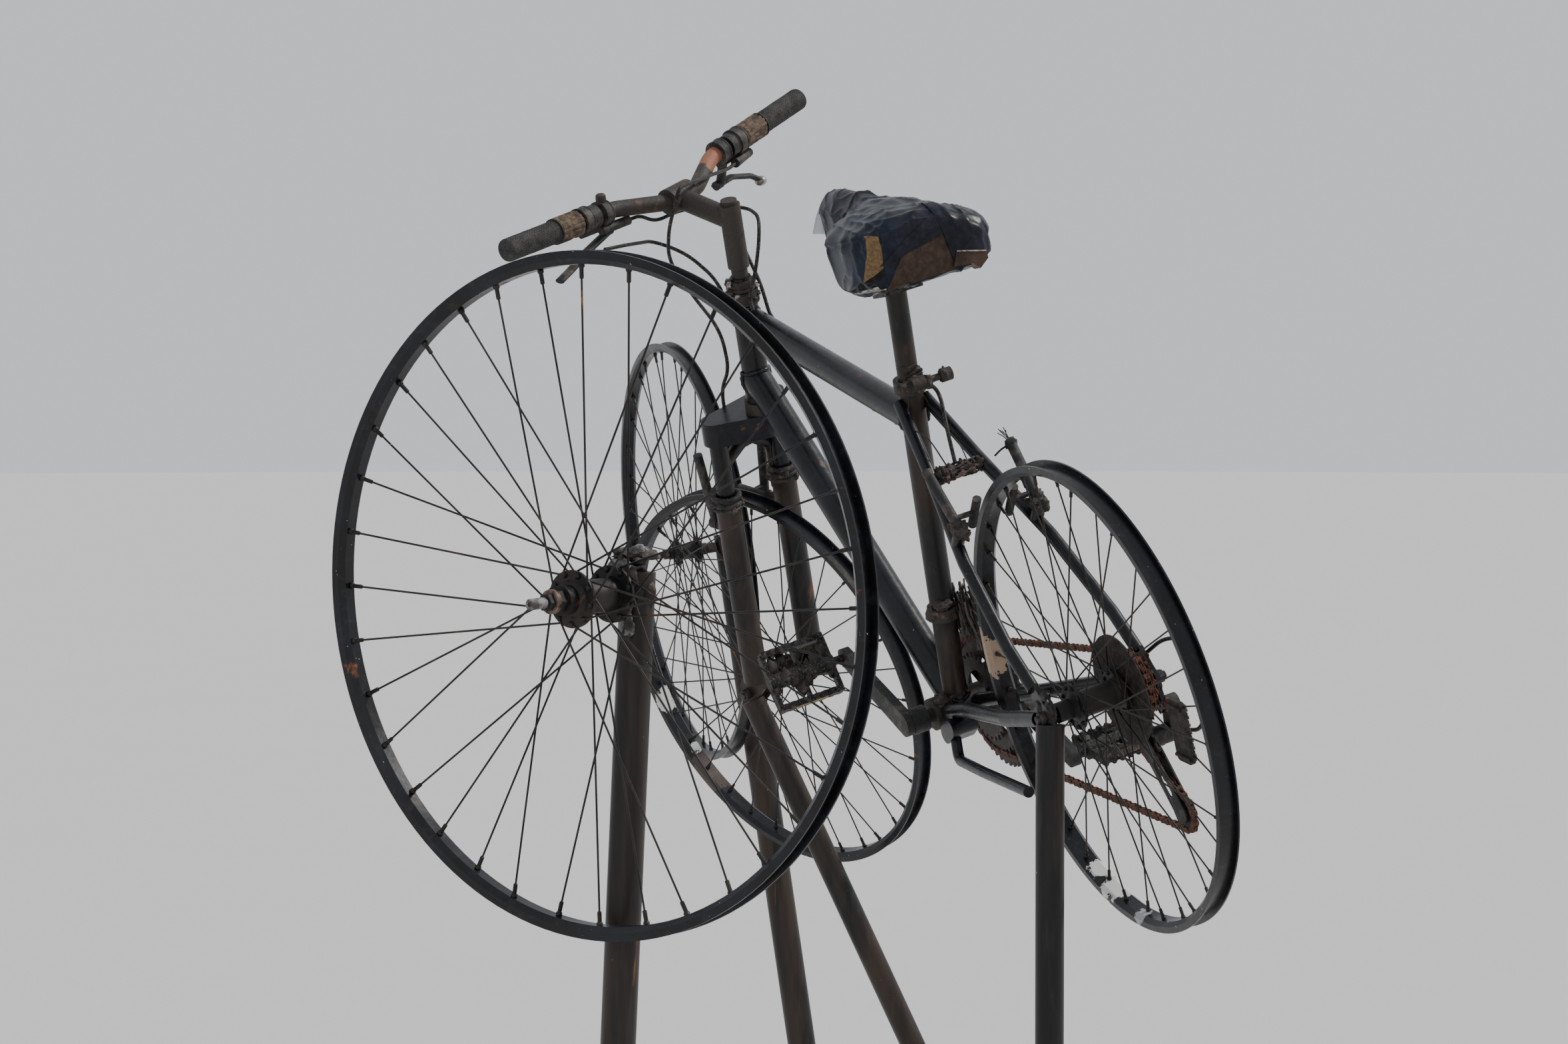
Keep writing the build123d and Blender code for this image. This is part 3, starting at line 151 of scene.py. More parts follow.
def pedal_place(side, tilt, x, z):
    """On a pedal's spindle, Z outward from the frame's plane."""
    return FRAME @ shift(x, 0, z) @ turn("X", -90 * side) @ turn("Z", tilt)


def on_seat(length, side=0.0):
    """On the seat tube's axis, this far up from the bracket."""
    return BRACKET + SEAT_UP * length + Vector((0, side, 0))


def on_head(length):
    """On the steering axis, this far up from its foot."""
    return HEAD_FOOT + HEAD_UP * length


NOISE_ROUGHNESS = 0.62
finishes = {}


class Finish:
    """A procedural material over an object's own coordinates, in metres."""

    def __init__(self, name):
        self.name = name
        self.material = bpy.data.materials.new(name)
        self.material.use_nodes = True
        self.tree = self.material.node_tree
        self.shader = self.tree.nodes["Principled BSDF"]
        self.place = self.node("ShaderNodeTexCoord").outputs["Object"]

    def put(self, socket, value):
        if isinstance(value, bpy.types.NodeSocket):
            self.tree.links.new(value, socket)
        elif socket.type == "RGBA":
            socket.default_value = (*value, 1.0)
        else:
            socket.default_value = value

    def node(self, kind, inputs=None, **settings):
        made = self.tree.nodes.new(kind)
        for name, value in settings.items():
            setattr(made, name, value)
        for name, value in (inputs or {}).items():
            self.put(made.inputs[name], value)
        return made

    def noise(self, size, detail, stretch=(1, 1, 1), offset=0.0):
        """Cloudy noise from 0 to 1 with lumps of about this size in metres."""
        fill = {"Vector": self.place, "Scale": stretch, "Location": (offset,) * 3}
        place = self.node("ShaderNodeMapping", fill).outputs[0]
        fill = {"Vector": place, "Scale": 1 / size, "Detail": detail, "Roughness": NOISE_ROUGHNESS}
        return self.node("ShaderNodeTexNoise", fill).outputs[0]

    def band(self, value, low, high):
        """0 below low, 1 above high, smooth between."""
        fill = {"Value": value, "From Min": low, "From Max": high}
        return self.node("ShaderNodeMapRange", fill, interpolation_type="SMOOTHSTEP").outputs[0]

    def math(self, operation, first, second):
        made = self.node("ShaderNodeMath", operation=operation)
        self.put(made.inputs[0], first)
        self.put(made.inputs[1], second)
        return made.outputs[0]

    def add(self, first, second):
        return self.math("ADD", first, second)

    def times(self, first, second):
        return self.math("MULTIPLY", first, second)

    def mix(self, share, first, second):
        made = self.node("ShaderNodeMix", data_type="RGBA")
        self.put(made.inputs[0], share)
        self.put(made.inputs[6], first)
        self.put(made.inputs[7], second)
        return made.outputs[2]

    def near(self, centre, radius, ragged):
        """1 within a ragged spot round a point in metres, 0 outside it."""
        ends = {0: self.place, 1: centre}
        away = self.node("ShaderNodeVectorMath", ends, operation="DISTANCE").outputs["Value"]
        edge = self.add(away, self.times(self.noise(ragged, 8.0), radius * 2))
        return self.band(edge, radius * 2.04, radius * 1.96)

    def spotted(self, colour, spots, ragged):
        for centre, radius, spot_colour in spots:
            colour = self.mix(self.near(centre, radius, ragged), colour, spot_colour)
        return colour

    def bump(self, height, depth):
        made = self.node("ShaderNodeBump", {"Height": height, "Distance": depth})
        self.put(self.shader.inputs["Normal"], made.outputs[0])

    def done(self, colour, roughness, **constants):
        """Fills in the shader and keeps the material under its name."""
        self.put(self.shader.inputs["Base Color"], colour)
        self.put(self.shader.inputs["Roughness"], roughness)
        for name, value in constants.items():
            self.shader.inputs[name.replace("_", " ")].default_value = value
        finishes[self.name] = self.material


BLACK = (0.0035, 0.0035, 0.004)
BLUE_BLACK = (0.007, 0.008, 0.013)
BROWN_BLACK = (0.022, 0.016, 0.012)
UMBER = (0.034, 0.021, 0.014)
DUST = (0.13, 0.115, 0.10)
# Tan dust together with painted brown reflected ground light, for the saddle's lower rear
TAN_DUST_AND_REFLECTION = (0.10, 0.065, 0.045)
TAN_PATCH = (0.30, 0.215, 0.15)
DARK_RUST = (0.085, 0.032, 0.014)
BRIGHT_RUST = (0.30, 0.105, 0.030)
BARE_WHITE = (0.62, 0.62, 0.60)

# Worn places that show in the photograph: centre and radius in metres, and colour
REAR_RIM_SPOTS = [
    ((0.2715, -0.0401, 1.2508), 0.024, TAN_PATCH),
    ((0.285, -0.030, 1.275), 0.016, TAN_PATCH),
    ((0.1464, -0.1354, 1.0026), 0.017, BARE_WHITE),
    ((0.1106, -0.1413, 0.9845), 0.022, BARE_WHITE),
    ((0.0373, -0.1366, 0.9616), 0.012, (0.34, 0.34, 0.36)),
]
FRONT_RIM_SPOTS = [
    ((1.3055, 0.0290, 1.1250), 0.020, BARE_WHITE),
    ((1.2990, -0.0090, 1.0500), 0.009, BARE_WHITE),
    ((1.2760, -0.0300, 1.0210), 0.030, (0.060, 0.043, 0.036)),
]
POST_TOP_PEEL = [((-0.650, 0.728, 1.372), 0.020, (0.16, 0.15, 0.145))]
BAR_RUST = [((0.907, 0.108, 1.886), 0.030, (0.26, 0.092, 0.048))]


# In the materials, sizes and depths are metres, and bands and shares go from 0 to 1
def worn_paint(name, tint, rust, dust, chips, gloss, streak=(1, 1, 1), spots=()):
    """Brushed black paint over steel: how much rust, dust and how many chips show, from 0 to 1."""
    fin = Finish(name)
    clouds = fin.noise(0.07, 4.0, streak)
    grain = fin.noise(0.012, 8.0, streak, 3.0)
    colour = fin.mix(fin.band(clouds, 0.40, 0.64), BLACK, tint)
    dusty = fin.times(fin.band(grain, 0.52, 0.78), dust)
    colour = fin.mix(dusty, colour, DUST)
    rusty = fin.band(fin.add(fin.noise(0.035, 9.0, streak, 7.0), rust * 0.3), 0.66, 0.76)
    rust_colour = fin.mix(fin.band(grain, 0.40, 0.62), DARK_RUST, BRIGHT_RUST)
    colour = fin.mix(rusty, colour, rust_colour)
    chipped = fin.band(fin.add(fin.noise(0.006, 6.0, offset=11.0), chips * 0.1), 0.735, 0.755)
    colour = fin.mix(chipped, colour, BARE_WHITE)
    colour = fin.spotted(colour, spots, 0.012)
    rough = fin.add(fin.times(grain, 0.35), 1 - gloss - 0.17)
    rough = fin.add(rough, fin.times(rusty, 0.3))
    flaking = fin.times(rusty, fin.noise(0.002, 4.0))
    height = fin.add(fin.times(grain, 0.7), flaking)
    fin.bump(fin.math("SUBTRACT", height, chipped), 0.0003)
    fin.done(colour, rough, Specular_IOR_Level=0.32)


def rusted(name, dark, bright, share, grain_size, paint=BROWN_BLACK, spots=()):
    """Steel whose rust covers this share of what paint and grime are left."""
    fin = Finish(name)
    grain = fin.noise(grain_size, 8.0)
    fine = fin.noise(grain_size * 0.25, 6.0, offset=5.0)
    rust_colour = fin.mix(fin.band(grain, 0.38, 0.64), dark, bright)
    patches = fin.add(fin.noise(grain_size * 2.5, 6.0, offset=9.0), share - 0.5)
    colour = fin.mix(fin.band(patches, 0.46, 0.56), paint, rust_colour)
    colour = fin.spotted(colour, spots, 0.02)
    fin.bump(fin.add(grain, fine), 0.0009)
    fin.done(colour, fin.add(fin.times(fine, 0.4), 0.42))


def moulded(name, main, second, grime, rough, depth, size=0.02):
    """Weathered plastic or rubber with grime in its hollows."""
    fin = Finish(name)
    clouds = fin.noise(size, 6.0)
    fine = fin.noise(size * 0.12, 6.0, offset=2.0)
    colour = fin.mix(fin.band(clouds, 0.35, 0.65), main, second)
    colour = fin.mix(fin.band(fine, 0.50, 0.72), colour, grime)
    fin.bump(fin.add(clouds, fine), depth)
    fin.done(colour, fin.add(fin.times(fine, 0.3), rough), Specular_IOR_Level=0.25)


def chain_rust():
    """Thick orange-brown crust."""
    fin = Finish("chain_rust")
    grain = fin.noise(0.005, 8.0)
    patch = fin.noise(0.03, 4.0, offset=4.0)
    colour = fin.mix(fin.band(grain, 0.36, 0.62), (0.035, 0.014, 0.008), (0.125, 0.042, 0.018))
    colour = fin.mix(fin.band(patch, 0.50, 0.68), colour, (0.065, 0.030, 0.018))
    fin.bump(grain, 0.0007)
    fin.done(colour, 0.78)


def film(name, main, second, dust, amount, rough):
    """Plastic sheeting, creased and dusty."""
    fin = Finish(name)
    clouds = fin.noise(0.05, 4.0)
    fine = fin.noise(0.009, 7.0, offset=2.0)
    colour = fin.mix(fin.band(clouds, 0.38, 0.62), main, second)
    dusty = fin.times(fin.band(fine, 0.40, 0.70), amount)
    colour = fin.mix(dusty, colour, dust)
    fin.bump(fin.add(fin.noise(0.018, 3.0, offset=5.0), fin.times(fine, 0.25)), 0.0004)
    rougher = fin.add(fin.times(fine, 0.22), rough)
    rougher = fin.add(rougher, fin.times(dusty, 0.3))
    fin.done(colour, rougher, Specular_IOR_Level=0.17)


def foam():
    """Torn yellow padding."""
    fin = Finish("seat_foam")
    fine = fin.noise(0.004, 8.0)
    colour = fin.mix(fin.band(fine, 0.35, 0.65), (0.105, 0.062, 0.028), (0.185, 0.115, 0.052))
    fin.bump(fine, 0.001)
    fin.done(colour, 0.95)


def clear_film():
    """A thin see-through flap."""
    fin = Finish("clear_film")
    colour = fin.mix(fin.noise(0.01, 6.0), (0.30, 0.34, 0.42), (0.50, 0.54, 0.60))
    fin.bump(fin.noise(0.02, 4.0), 0.001)
    fin.done(colour, 0.22, Alpha=0.55)


def bright_metal(name, main, second, rough):
    """Bare or plated steel that still shines between its stains."""
    fin = Finish(name)
    stain = fin.noise(0.008, 8.0)
    colour = fin.mix(fin.band(stain, 0.42, 0.62), main, second)
    fin.bump(stain, 0.0003)
    fin.done(colour, fin.add(fin.times(stain, 0.35), rough), Metallic=0.75)


worn_paint("black_paint", BLUE_BLACK, 0.03, 0.08, 0.14, 0.70)
worn_paint("brown_paint", UMBER, 0.03, 0.12, 0.10, 0.60, (1, 1, 0.12), POST_TOP_PEEL)
worn_paint("rim_paint", BLUE_BLACK, 0.02, 0.12, 0.42, 0.70, spots=REAR_RIM_SPOTS + FRONT_RIM_SPOTS)
worn_paint("spoke_steel", BROWN_BLACK, 0.06, 0.12, 0.10, 0.50)
rusted("dark_steel", BROWN_BLACK, (0.060, 0.048, 0.040), 0.50, 0.012, BLACK)
rusted("rusty_bar", (0.050, 0.027, 0.018), (0.13, 0.060, 0.036), 0.40, 0.018, spots=BAR_RUST)
rusted("gunk", (0.030, 0.017, 0.011), (0.125, 0.082, 0.058), 0.42, 0.006)
rusted("grey_crust", (0.045, 0.040, 0.038), (0.26, 0.25, 0.25), 0.62, 0.009)
rusted("red_rust", (0.075, 0.022, 0.011), (0.20, 0.062, 0.034), 0.60, 0.006, DARK_RUST)
moulded("tan_plastic", (0.050, 0.032, 0.021), (0.165, 0.115, 0.078), BROWN_BLACK, 0.55, 0.0009,
        0.012)
moulded("black_rubber", (0.026, 0.025, 0.025), (0.055, 0.053, 0.051), BLACK, 0.6, 0.0003)
moulded("black_plastic", BLACK, (0.030, 0.028, 0.026), DUST, 0.42, 0.0005)
moulded("lens", (0.30, 0.20, 0.035), (0.42, 0.30, 0.07), BROWN_BLACK, 0.3, 0.0003)
moulded("grey_lens", (0.055, 0.043, 0.036), (0.16, 0.125, 0.10), BLACK, 0.4, 0.0006, 0.012)
moulded("smoked_plastic", (0.008, 0.007, 0.006), (0.050, 0.037, 0.028), BLACK, 0.42, 0.0016, 0.008)
# A dark strip for the slot under the foam tear: painted shade
moulded("painted_shade_slit", BLACK, BROWN_BLACK, BLACK, 0.7, 0.0006)
moulded("cable_sheath", BLACK, BROWN_BLACK, DUST, 0.38, 0.0002)
film("saddle_wrap", (0.006, 0.007, 0.012), (0.013, 0.015, 0.026), DUST, 0.07, 0.20)
# Bluer colour on the saddle's left lobe: a painted blue sheen
film("painted_blue_sheen", (0.005, 0.007, 0.013), (0.010, 0.016, 0.032), DUST, 0.05, 0.18)
# Dust on the saddle's lower rear, partly painted brown reflection of light from the ground
film("dust_and_painted_reflection_film", (0.032, 0.019, 0.013), (0.062, 0.037, 0.025), TAN_DUST_AND_REFLECTION, 0.4, 0.34)
# Bright metal, also used for painted highlights on the saddle's sheet edges and painted glints on the lock
# nuts' crust
bright_metal("silver_and_painted_glint", (0.36, 0.34, 0.33), (0.10, 0.075, 0.06), 0.24)
bright_metal("pink_metal", (0.20, 0.135, 0.115), (0.050, 0.032, 0.027), 0.40)
chain_rust()
foam()
clear_film()

NODE_FINISH = {
    "black_paint": "top_tube down_tube head_tube seat_stays chain_stay_left chain_stay_right fork_crown "
                   "kickstand",
    "brown_paint": "rear_post front_brace near_wheel_post far_wheel_post seat_post seat_tube fork_lowers",
    "rim_paint": "near_wheel_rim far_wheel_rim front_wheel_rim rear_wheel_rim",
    "spoke_steel": "near_wheel_hub far_wheel_hub front_wheel_hub rear_wheel_hub",
    "dark_steel": "near_wheel_axle far_wheel_axle front_axle rear_axle crankset saddle_clamp rear_derailleur "
                  "rear_brake_left rear_brake_right front_brake_left front_brake_right brake_lever_left "
                  "brake_lever_right",
    "rusty_bar": "handlebar stem headset_lower headset_upper seat_collar bottom_bracket_shell",
    "chain_rust": "chain cassette",
    "gunk": "chainrings front_derailleur",
    "tan_plastic": "shifter_left shifter_right",
    "grey_lens": "spoke_reflector",
    "black_rubber": "grip_left grip_right",
    "black_plastic": "pedal_left pedal_right",
    "smoked_plastic": "spoke_protector",
    "saddle_wrap": "saddle",
    "cable_sheath": "front_brake_cable rear_brake_cable rear_brake_loop derailleur_cable shift_cables",
}
for finish, members in NODE_FINISH.items():
    for member in members.split():
        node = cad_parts[member]
        node.data.materials.clear()
        node.data.materials.append(finishes[finish])


class Form:
    """Points in one place's millimetres, the faces between them and a finish for each face."""

    def __init__(self):
        self.points, self.faces, self.finish = [], [], []

    def add(self, shape, place=None, finish=0):
        points, faces = shape
        start = len(self.points)
        self.points += [place @ Vector(point) if place else Vector(point) for point in points]
        self.faces += [[start + index for index in face] for face in faces]
        self.finish += [finish] * len(faces)
        return self


def skin(rows, capped=True):
    """Faces from each loop of points to the next, and over the first and the last when capped."""
    size = len(rows[0])
    points = [point for row in rows for point in row]
    last = (len(rows) - 1) * size
    faces = []
    for low in range(0, last, size):
        for index in range(size):
            after = (index + 1) % size
            faces.append([low + index, low + after, low + size + after, low + size + index])
    if capped:
        faces.append(list(reversed(range(size))))
        faces.append([last + index for index in range(size)])
    return points, faces


def turns(sides):
    """Angles evenly spaced round a full turn."""
    return [2 * pi * step / sides for step in range(sides)]


def circle(radius, height, sides):
    return [(radius * cos(angle), radius * sin(angle), height) for angle in turns(sides)]


def lathe(profile, sides):
    """Turned about Z from (radius, height) points."""
    return skin([circle(radius, height, sides) for radius, height in profile])


def collar(radius, middle, depth, half_foot, half_edge, sides):
    """A ring about Z that narrows from its foot to its edge."""
    foot = radius - depth
    profile = [(foot, middle - half_foot), (radius, middle - half_edge)]
    profile += [(radius, middle + half_edge), (foot, middle + half_foot)]
    return lathe(profile, sides)


def prism(outline, low, high):
    return skin([[(x, y, low) for x, y in outline], [(x, y, high) for x, y in outline]])


def rectangle(left, low, right, high):
    return [(left, low), (right, low), (right, high), (left, high)]


def rounded(half_x, half_y, radius, steps=5):
    """A rectangle's outline with rounded corners."""
    outline = []
    for quarter, (x, y) in enumerate(((1, 1), (-1, 1), (-1, -1), (1, -1))):
        for step in range(steps):
            angle = pi / 2 * (quarter + step / (steps - 1))
            at_x = x * (half_x - radius) + radius * cos(angle)
            outline.append((at_x, y * (half_y - radius) + radius * sin(angle)))
    return outline


def smooth_line(points, steps):
    """A Catmull-Rom curve through the points."""
    points = [Vector(point) for point in points]
    ends = [2 * points[0] - points[1]] + points + [2 * points[-1] - points[-2]]
    line = []
    for index in range(len(points) - 1):
        before, first, second, after = ends[index:index + 4]
        bend = 2 * before - 5 * first + 4 * second - after
        twist = 3 * first - before - 3 * second + after
        for step in range(steps):
            t = step / steps
            line.append(0.5 * (2 * first + (second - before) * t + bend * t**2 + twist * t**3))
    return line + [points[-1]]


def around(side, up, sides):
    """Directions in a full turn that starts at side and goes towards up."""
    return [side * cos(angle) + up * sin(angle) for angle in turns(sides)]


def tube(points, radius, sides, ragged=0.0):
    """A round bar along the points, its radius varied by this much."""
    points = [Vector(point) for point in points]
    side = (points[1] - points[0]).orthogonal().normalized()
    rows = []
    for index, point in enumerate(points):
        ahead = (points[min(index + 1, len(points) - 1)] - points[max(index - 1, 0)]).normalized()
        side = (side - ahead * side.dot(ahead)).normalized()
        row = []
        for out in around(side, ahead.cross(side), sides):
            row.append(point + out * radius * (1 + ragged * noise.noise((point + out * radius) * 0.35)))
        rows.append(row)
    return skin(rows)


LUMP_GRAIN = 0.12


def lump(centre, radii, seed, ragged, rings=10, sides=14):
    """A crusty blob round a centre, no two alike."""
    centre = Vector(centre)
    rows = []
    for ring in range(rings + 1):
        lift = pi * ring / rings
        row = []
        for angle in turns(sides):
            out = Vector((sin(lift) * cos(angle), sin(lift) * sin(angle), cos(lift)))
            swell = 1 + ragged * noise.noise(out * 1.7 + Vector((seed, seed * 0.7, 0.0)))
            fine = out * max(radii) * LUMP_GRAIN * 3
            swell += ragged * 0.6 * noise.noise(fine + Vector((0.0, seed, seed)))
            row.append(centre + Vector((out.x * radii[0], out.y * radii[1], out.z * radii[2])) * swell)
        rows.append(row)
    return skin(rows)


BEAD_SIDES = 40
WELD_SIDES = 56
ROUND_SIDES = 8


def bead(centre, radius, thickness, seed):
    """A lumpy ring about Z."""
    axis = Vector((0, 0, 1))
    side = axis.orthogonal().normalized()
    rows = []
    for out in around(side, axis.cross(side), BEAD_SIDES):
        thick = thickness * (1 + 0.45 * noise.noise(out * 5 + Vector((seed, 0, 0))))
        middle = Vector(centre) + out * radius
        rows.append([middle + way * thick for way in around(out, axis, ROUND_SIDES)])
    return skin(rows + [rows[0]], capped=False)


def weld(start, end, radius, met, thickness, seed):
    """A bead where a tube from start towards end meets a cylinder, given as a point, an axis and a radius."""
    axis_at, axis, axis_radius = met
    along = (end - start).normalized()
    side = along.orthogonal().normalized()
    rows = []
    for step, out in enumerate(around(side, along.cross(side), WELD_SIDES)):
        away = start + out * radius - axis_at
        away -= axis * away.dot(axis)
        closing = along - axis * along.dot(axis)
        a, b, c = closing.dot(closing), 2 * away.dot(closing), away.dot(away) - axis_radius ** 2
        reach = (-b - sqrt(max(b * b - 4 * a * c, 0.0))) / (2 * a)
        middle = start + out * radius + along * reach
        thick = thickness * (1 + 0.4 * noise.noise(out * 4 + Vector((seed, 0, 0))) + 0.14 * sin(step * 2.3))
        rows.append([middle + way * thick for way in around(out, along, ROUND_SIDES)])
    return skin(rows + [rows[0]], capped=False)


def aligned(start, direction):
    """A place whose Z runs along a direction."""
    return shift(*start) @ Vector(direction).to_track_quat("Z", "Y").to_matrix().to_4x4()


SAME_POINT = 0.000005


def piece(name, form, place, materials, edge=38.0, body=FIXED):
    """A named mesh that rides on a body; edges sharper than this angle stay sharp."""
    mesh = bpy.data.meshes.new(name)
    mesh.from_pydata([place @ point for point in form.points], [], form.faces)
    mesh.polygons.foreach_set("material_index", form.finish)
    for material in materials:
        mesh.materials.append(finishes[material])
    shell = bmesh.new()
    shell.from_mesh(mesh)
    bmesh.ops.remove_doubles(shell, verts=shell.verts, dist=SAME_POINT)
    bmesh.ops.dissolve_degenerate(shell, edges=shell.edges, dist=SAME_POINT)
    bmesh.ops.recalc_face_normals(shell, faces=shell.faces)
    shell.to_mesh(mesh)
    shell.free()
    mesh.shade_smooth()
    mesh.set_sharp_from_angle(angle=radians(edge))
    made = bpy.data.objects.new(name, mesh)
    bpy.context.scene.collection.objects.link(made)
    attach(made, body)
    return made


# Saddle sections: distance ahead of the rear hub, half width, top and bottom
SADDLE_SECTIONS = (
    (104, 52, 566, 524), (108, 66, 588, 517), (118, 80, 598, 515), (135, 88, 604, 515), (165, 92, 609, 515),
    (205, 91, 616, 517), (226, 82, 621, 521), (244, 52, 625, 533), (260, 33, 630, 546), (290, 27, 637, 556),
    (325, 25, 642, 567), (360, 24, 645, 575), (378, 22, 646, 585), (385, 15, 643, 594), (388, 7, 636, 604),
)
SADDLE_BACK = SADDLE_SECTIONS[0][0]
SADDLE_NOSE = SADDLE_SECTIONS[-1][0]
SADDLE_ROWS = 150
SADDLE_SIDES = 190
# Powers of a section's outline, boxier when lower: across its foot, its top and the left lobe, up and down
FOOT_POWER, TOP_POWER, LOBE_POWER = 0.42, 0.62, 0.26
RISE_POWER, SINK_POWER = 0.85, 0.45
# The painted blue sheen covers what is further to the left and further back than this
BLUE_SIDE, BLUE_AHEAD = 40, 262
SADDLE_LOOKS = ["saddle_wrap", "painted_blue_sheen", "dust_and_painted_reflection_film", "seat_foam", "clear_film", "painted_shade_slit", "silver_and_painted_glint"]
# Sheets on the saddle's back, seen from behind: corners (side, height) going round, lift, bulge and finish
SHEETS = (
    # Lower rear panel: dust and a painted brown ground reflection
    ([(31, 569), (-24, 564), (-22, 521), (69, 519)], 0.8, 1.5, "dust_and_painted_reflection_film"),
    ([(73, 589), (60, 584), (65, 547), (86, 536)], 0.8, 1.5, "seat_foam"),
    # Painted shade: a dark strip where the slot under the foam lies
    ([(87, 537), (65, 548), (66, 538), (88, 526)], 0.6, 0.0, "painted_shade_slit"),
    # A thin silver strip along the sheet's lower edge: a painted highlight
    ([(89, 526), (68, 523), (68, 521), (89, 524)], 1.4, 0.0, "silver_and_painted_glint"),
    ([(31, 572), (-26, 598), (-27, 566), (70, 549)], 1.8, 2.0, "saddle_wrap"),
    ([(-13, 606), (-66, 590), (-78, 527), (-20, 526)], 3.0, 3.0, "saddle_wrap"),
)
SHEET_STEPS = 22
SHEET_THICK = 1.5
BEHIND_SADDLE = 60
NEAR_SADDLE_BACK = 112
TAIL_BLOCK = ((-25, 540), (-62, 530), (-62, 522), (-49, 513), (-41, 521), (-17, 524))
TAIL_EDGE = ((98.5, -25, 540.5), (98.5, -44, 535.5), (98.5, -62, 530.5))
FLAP_LEFT = ((389, -2, 644), (398, 14, 624), (404, 26, 600))
FLAP_RIGHT = ((386, -10, 638), (390, -6, 618), (391, 0, 591))
FLAP_COLUMNS = 8


def section_at(x):
    for before, after in zip(SADDLE_SECTIONS, SADDLE_SECTIONS[1:]):
        if x <= after[0]:
            share = step_up(x, before[0], after[0])
            return [low + (high - low) * share for low, high in zip(before[1:], after[1:])]
    return list(SADDLE_SECTIONS[-1][1:])


def step_up(value, low, high):
    """0 below low, 1 above high, smooth between."""
    share = min(max((value - low) / (high - low), 0.0), 1.0)
    return share * share * (3 - 2 * share)


def saddle_point(x, angle):
    """On the wrapped saddle, this far ahead of the rear hub and at this angle round its section."""
    half, top, bottom = section_at(x)
    middle, tall = (top + bottom) / 2, (top - bottom) / 2
    across, lift = cos(angle), sin(angle)
    if lift <= 0:
        wide = FOOT_POWER
    elif across < 0:
        wide = TOP_POWER
    else:
        wide = TOP_POWER + LOBE_POWER * step_up(x, 130, 200)
    y = half * (abs(across) ** wide) * (1 if across > 0 else -1)
    if lift > 0:
        y *= 1 - 0.30 * step_up(lift, 0.35, 1.0)
    z = middle + tall * (abs(lift) ** (RISE_POWER if lift > 0 else SINK_POWER)) * (1 if lift > 0 else -1)
    z += 10.0 * (y / 90.0) * (1 - step_up(x, 225, 300)) * step_up(z, 535, 580)
    folds = 1 - abs(noise.noise(Vector((x * 0.012, y * 0.050, z * 0.014)))) * 2
    creases = 1 - abs(noise.noise(Vector((x * 0.024, y * 0.016, z * 0.034 + 9)))) * 2
    swell = 3.6 * (folds ** 3 - 0.4) + 1.6 * (creases ** 6 - 0.2)
    hood_edge = 566 + 0.22 * y + 7 * noise.noise(Vector((y * 0.03, x * 0.02, 3)))
    swell += 3.0 * step_up(z, hood_edge, hood_edge + 2.5) * (1 - step_up(x, 200, 250))
    seam = 1 - min(abs(x - 268 - 0.35 * (z - 590)) / 5, 1)
    swell += 2.4 * seam - 1.0
    out = Vector((0, across, lift)).normalized()
    return Vector((x, y, z)) + out * swell


cover = Form()
rows = []
for row in range(SADDLE_ROWS):
    share = row / (SADDLE_ROWS - 1)
    if share < 0.5:
        share = 0.5 - 0.5 * cos(pi * share)
    x = SADDLE_BACK + (SADDLE_NOSE - SADDLE_BACK) * share
    rows.append([saddle_point(x, angle) for angle in turns(SADDLE_SIDES)])
cover.add(skin(rows))
# Faces on the left lobe and further back get the painted blue sheen
for index, face in enumerate(cover.faces):
    middle = sum((cover.points[corner] for corner in face), Vector()) / len(face)
    cover.finish[index] = int(middle.y > BLUE_SIDE and middle.x < BLUE_AHEAD)
wrapped = BVHTree.FromPolygons(cover.points, cover.faces)


def laid_sheet(corners, lift, bulge):
    """A thin sheet that follows the saddle's back between its four corners."""
    rows = []
    for row in range(SHEET_STEPS + 1):
        down = row / SHEET_STEPS
        front = []
        for column in range(SHEET_STEPS + 1):
            along = column / SHEET_STEPS
            top = [a + (b - a) * along for a, b in zip(corners[0], corners[1])]
            foot = [a + (b - a) * along for a, b in zip(corners[3], corners[2])]
            side, height = [a + (b - a) * down for a, b in zip(top, foot)]
            found = wrapped.ray_cast(Vector((BEHIND_SADDLE, side, height)), Vector((1, 0, 0)))[0]
            if found is None:
                found = wrapped.find_nearest(Vector((NEAR_SADDLE_BACK, side, height)))[0]
            puff = bulge * sin(pi * along) * sin(pi * down) + 0.9 * noise.noise(found * 0.07)
            front.append(found + Vector((-lift - puff, 0, 0)))
        rows.append(front + [point + Vector((lift + SHEET_THICK, 0, 0)) for point in reversed(front)])
    return skin(rows)


for corners, lift, bulge, look in SHEETS:
    cover.add(laid_sheet(corners, lift, bulge), finish=SADDLE_LOOKS.index(look))
# The tail block: dust and a painted brown ground reflection
tail_block = skin([[Vector((x, side, height)) for side, height in TAIL_BLOCK] for x in (99, 118)])
cover.add(tail_block, finish=SADDLE_LOOKS.index("dust_and_painted_reflection_film"))
# A silver line along the tail block's top edge: a painted highlight on the sheet's shiny edge
cover.add(tube(TAIL_EDGE, 0.9, 6), finish=SADDLE_LOOKS.index("silver_and_painted_glint"))
flap_rows = []
for left, right in zip(smooth_line(FLAP_LEFT, 10), smooth_line(FLAP_RIGHT, 10)):
    face_row = []
    for share in range(FLAP_COLUMNS + 1):
        face_row.append(left.lerp(right, share / FLAP_COLUMNS) + Vector((1.2 * sin(share * 2.1), 0, 0)))
    flap_rows.append(face_row + [point + Vector((-0.8, 0, 0)) for point in reversed(face_row)])
cover.add(skin(flap_rows), finish=SADDLE_LOOKS.index("clear_film"))
saddle = piece("saddle_cover", cover, FRAME, SADDLE_LOOKS, 50)
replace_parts(saddle, "saddle")

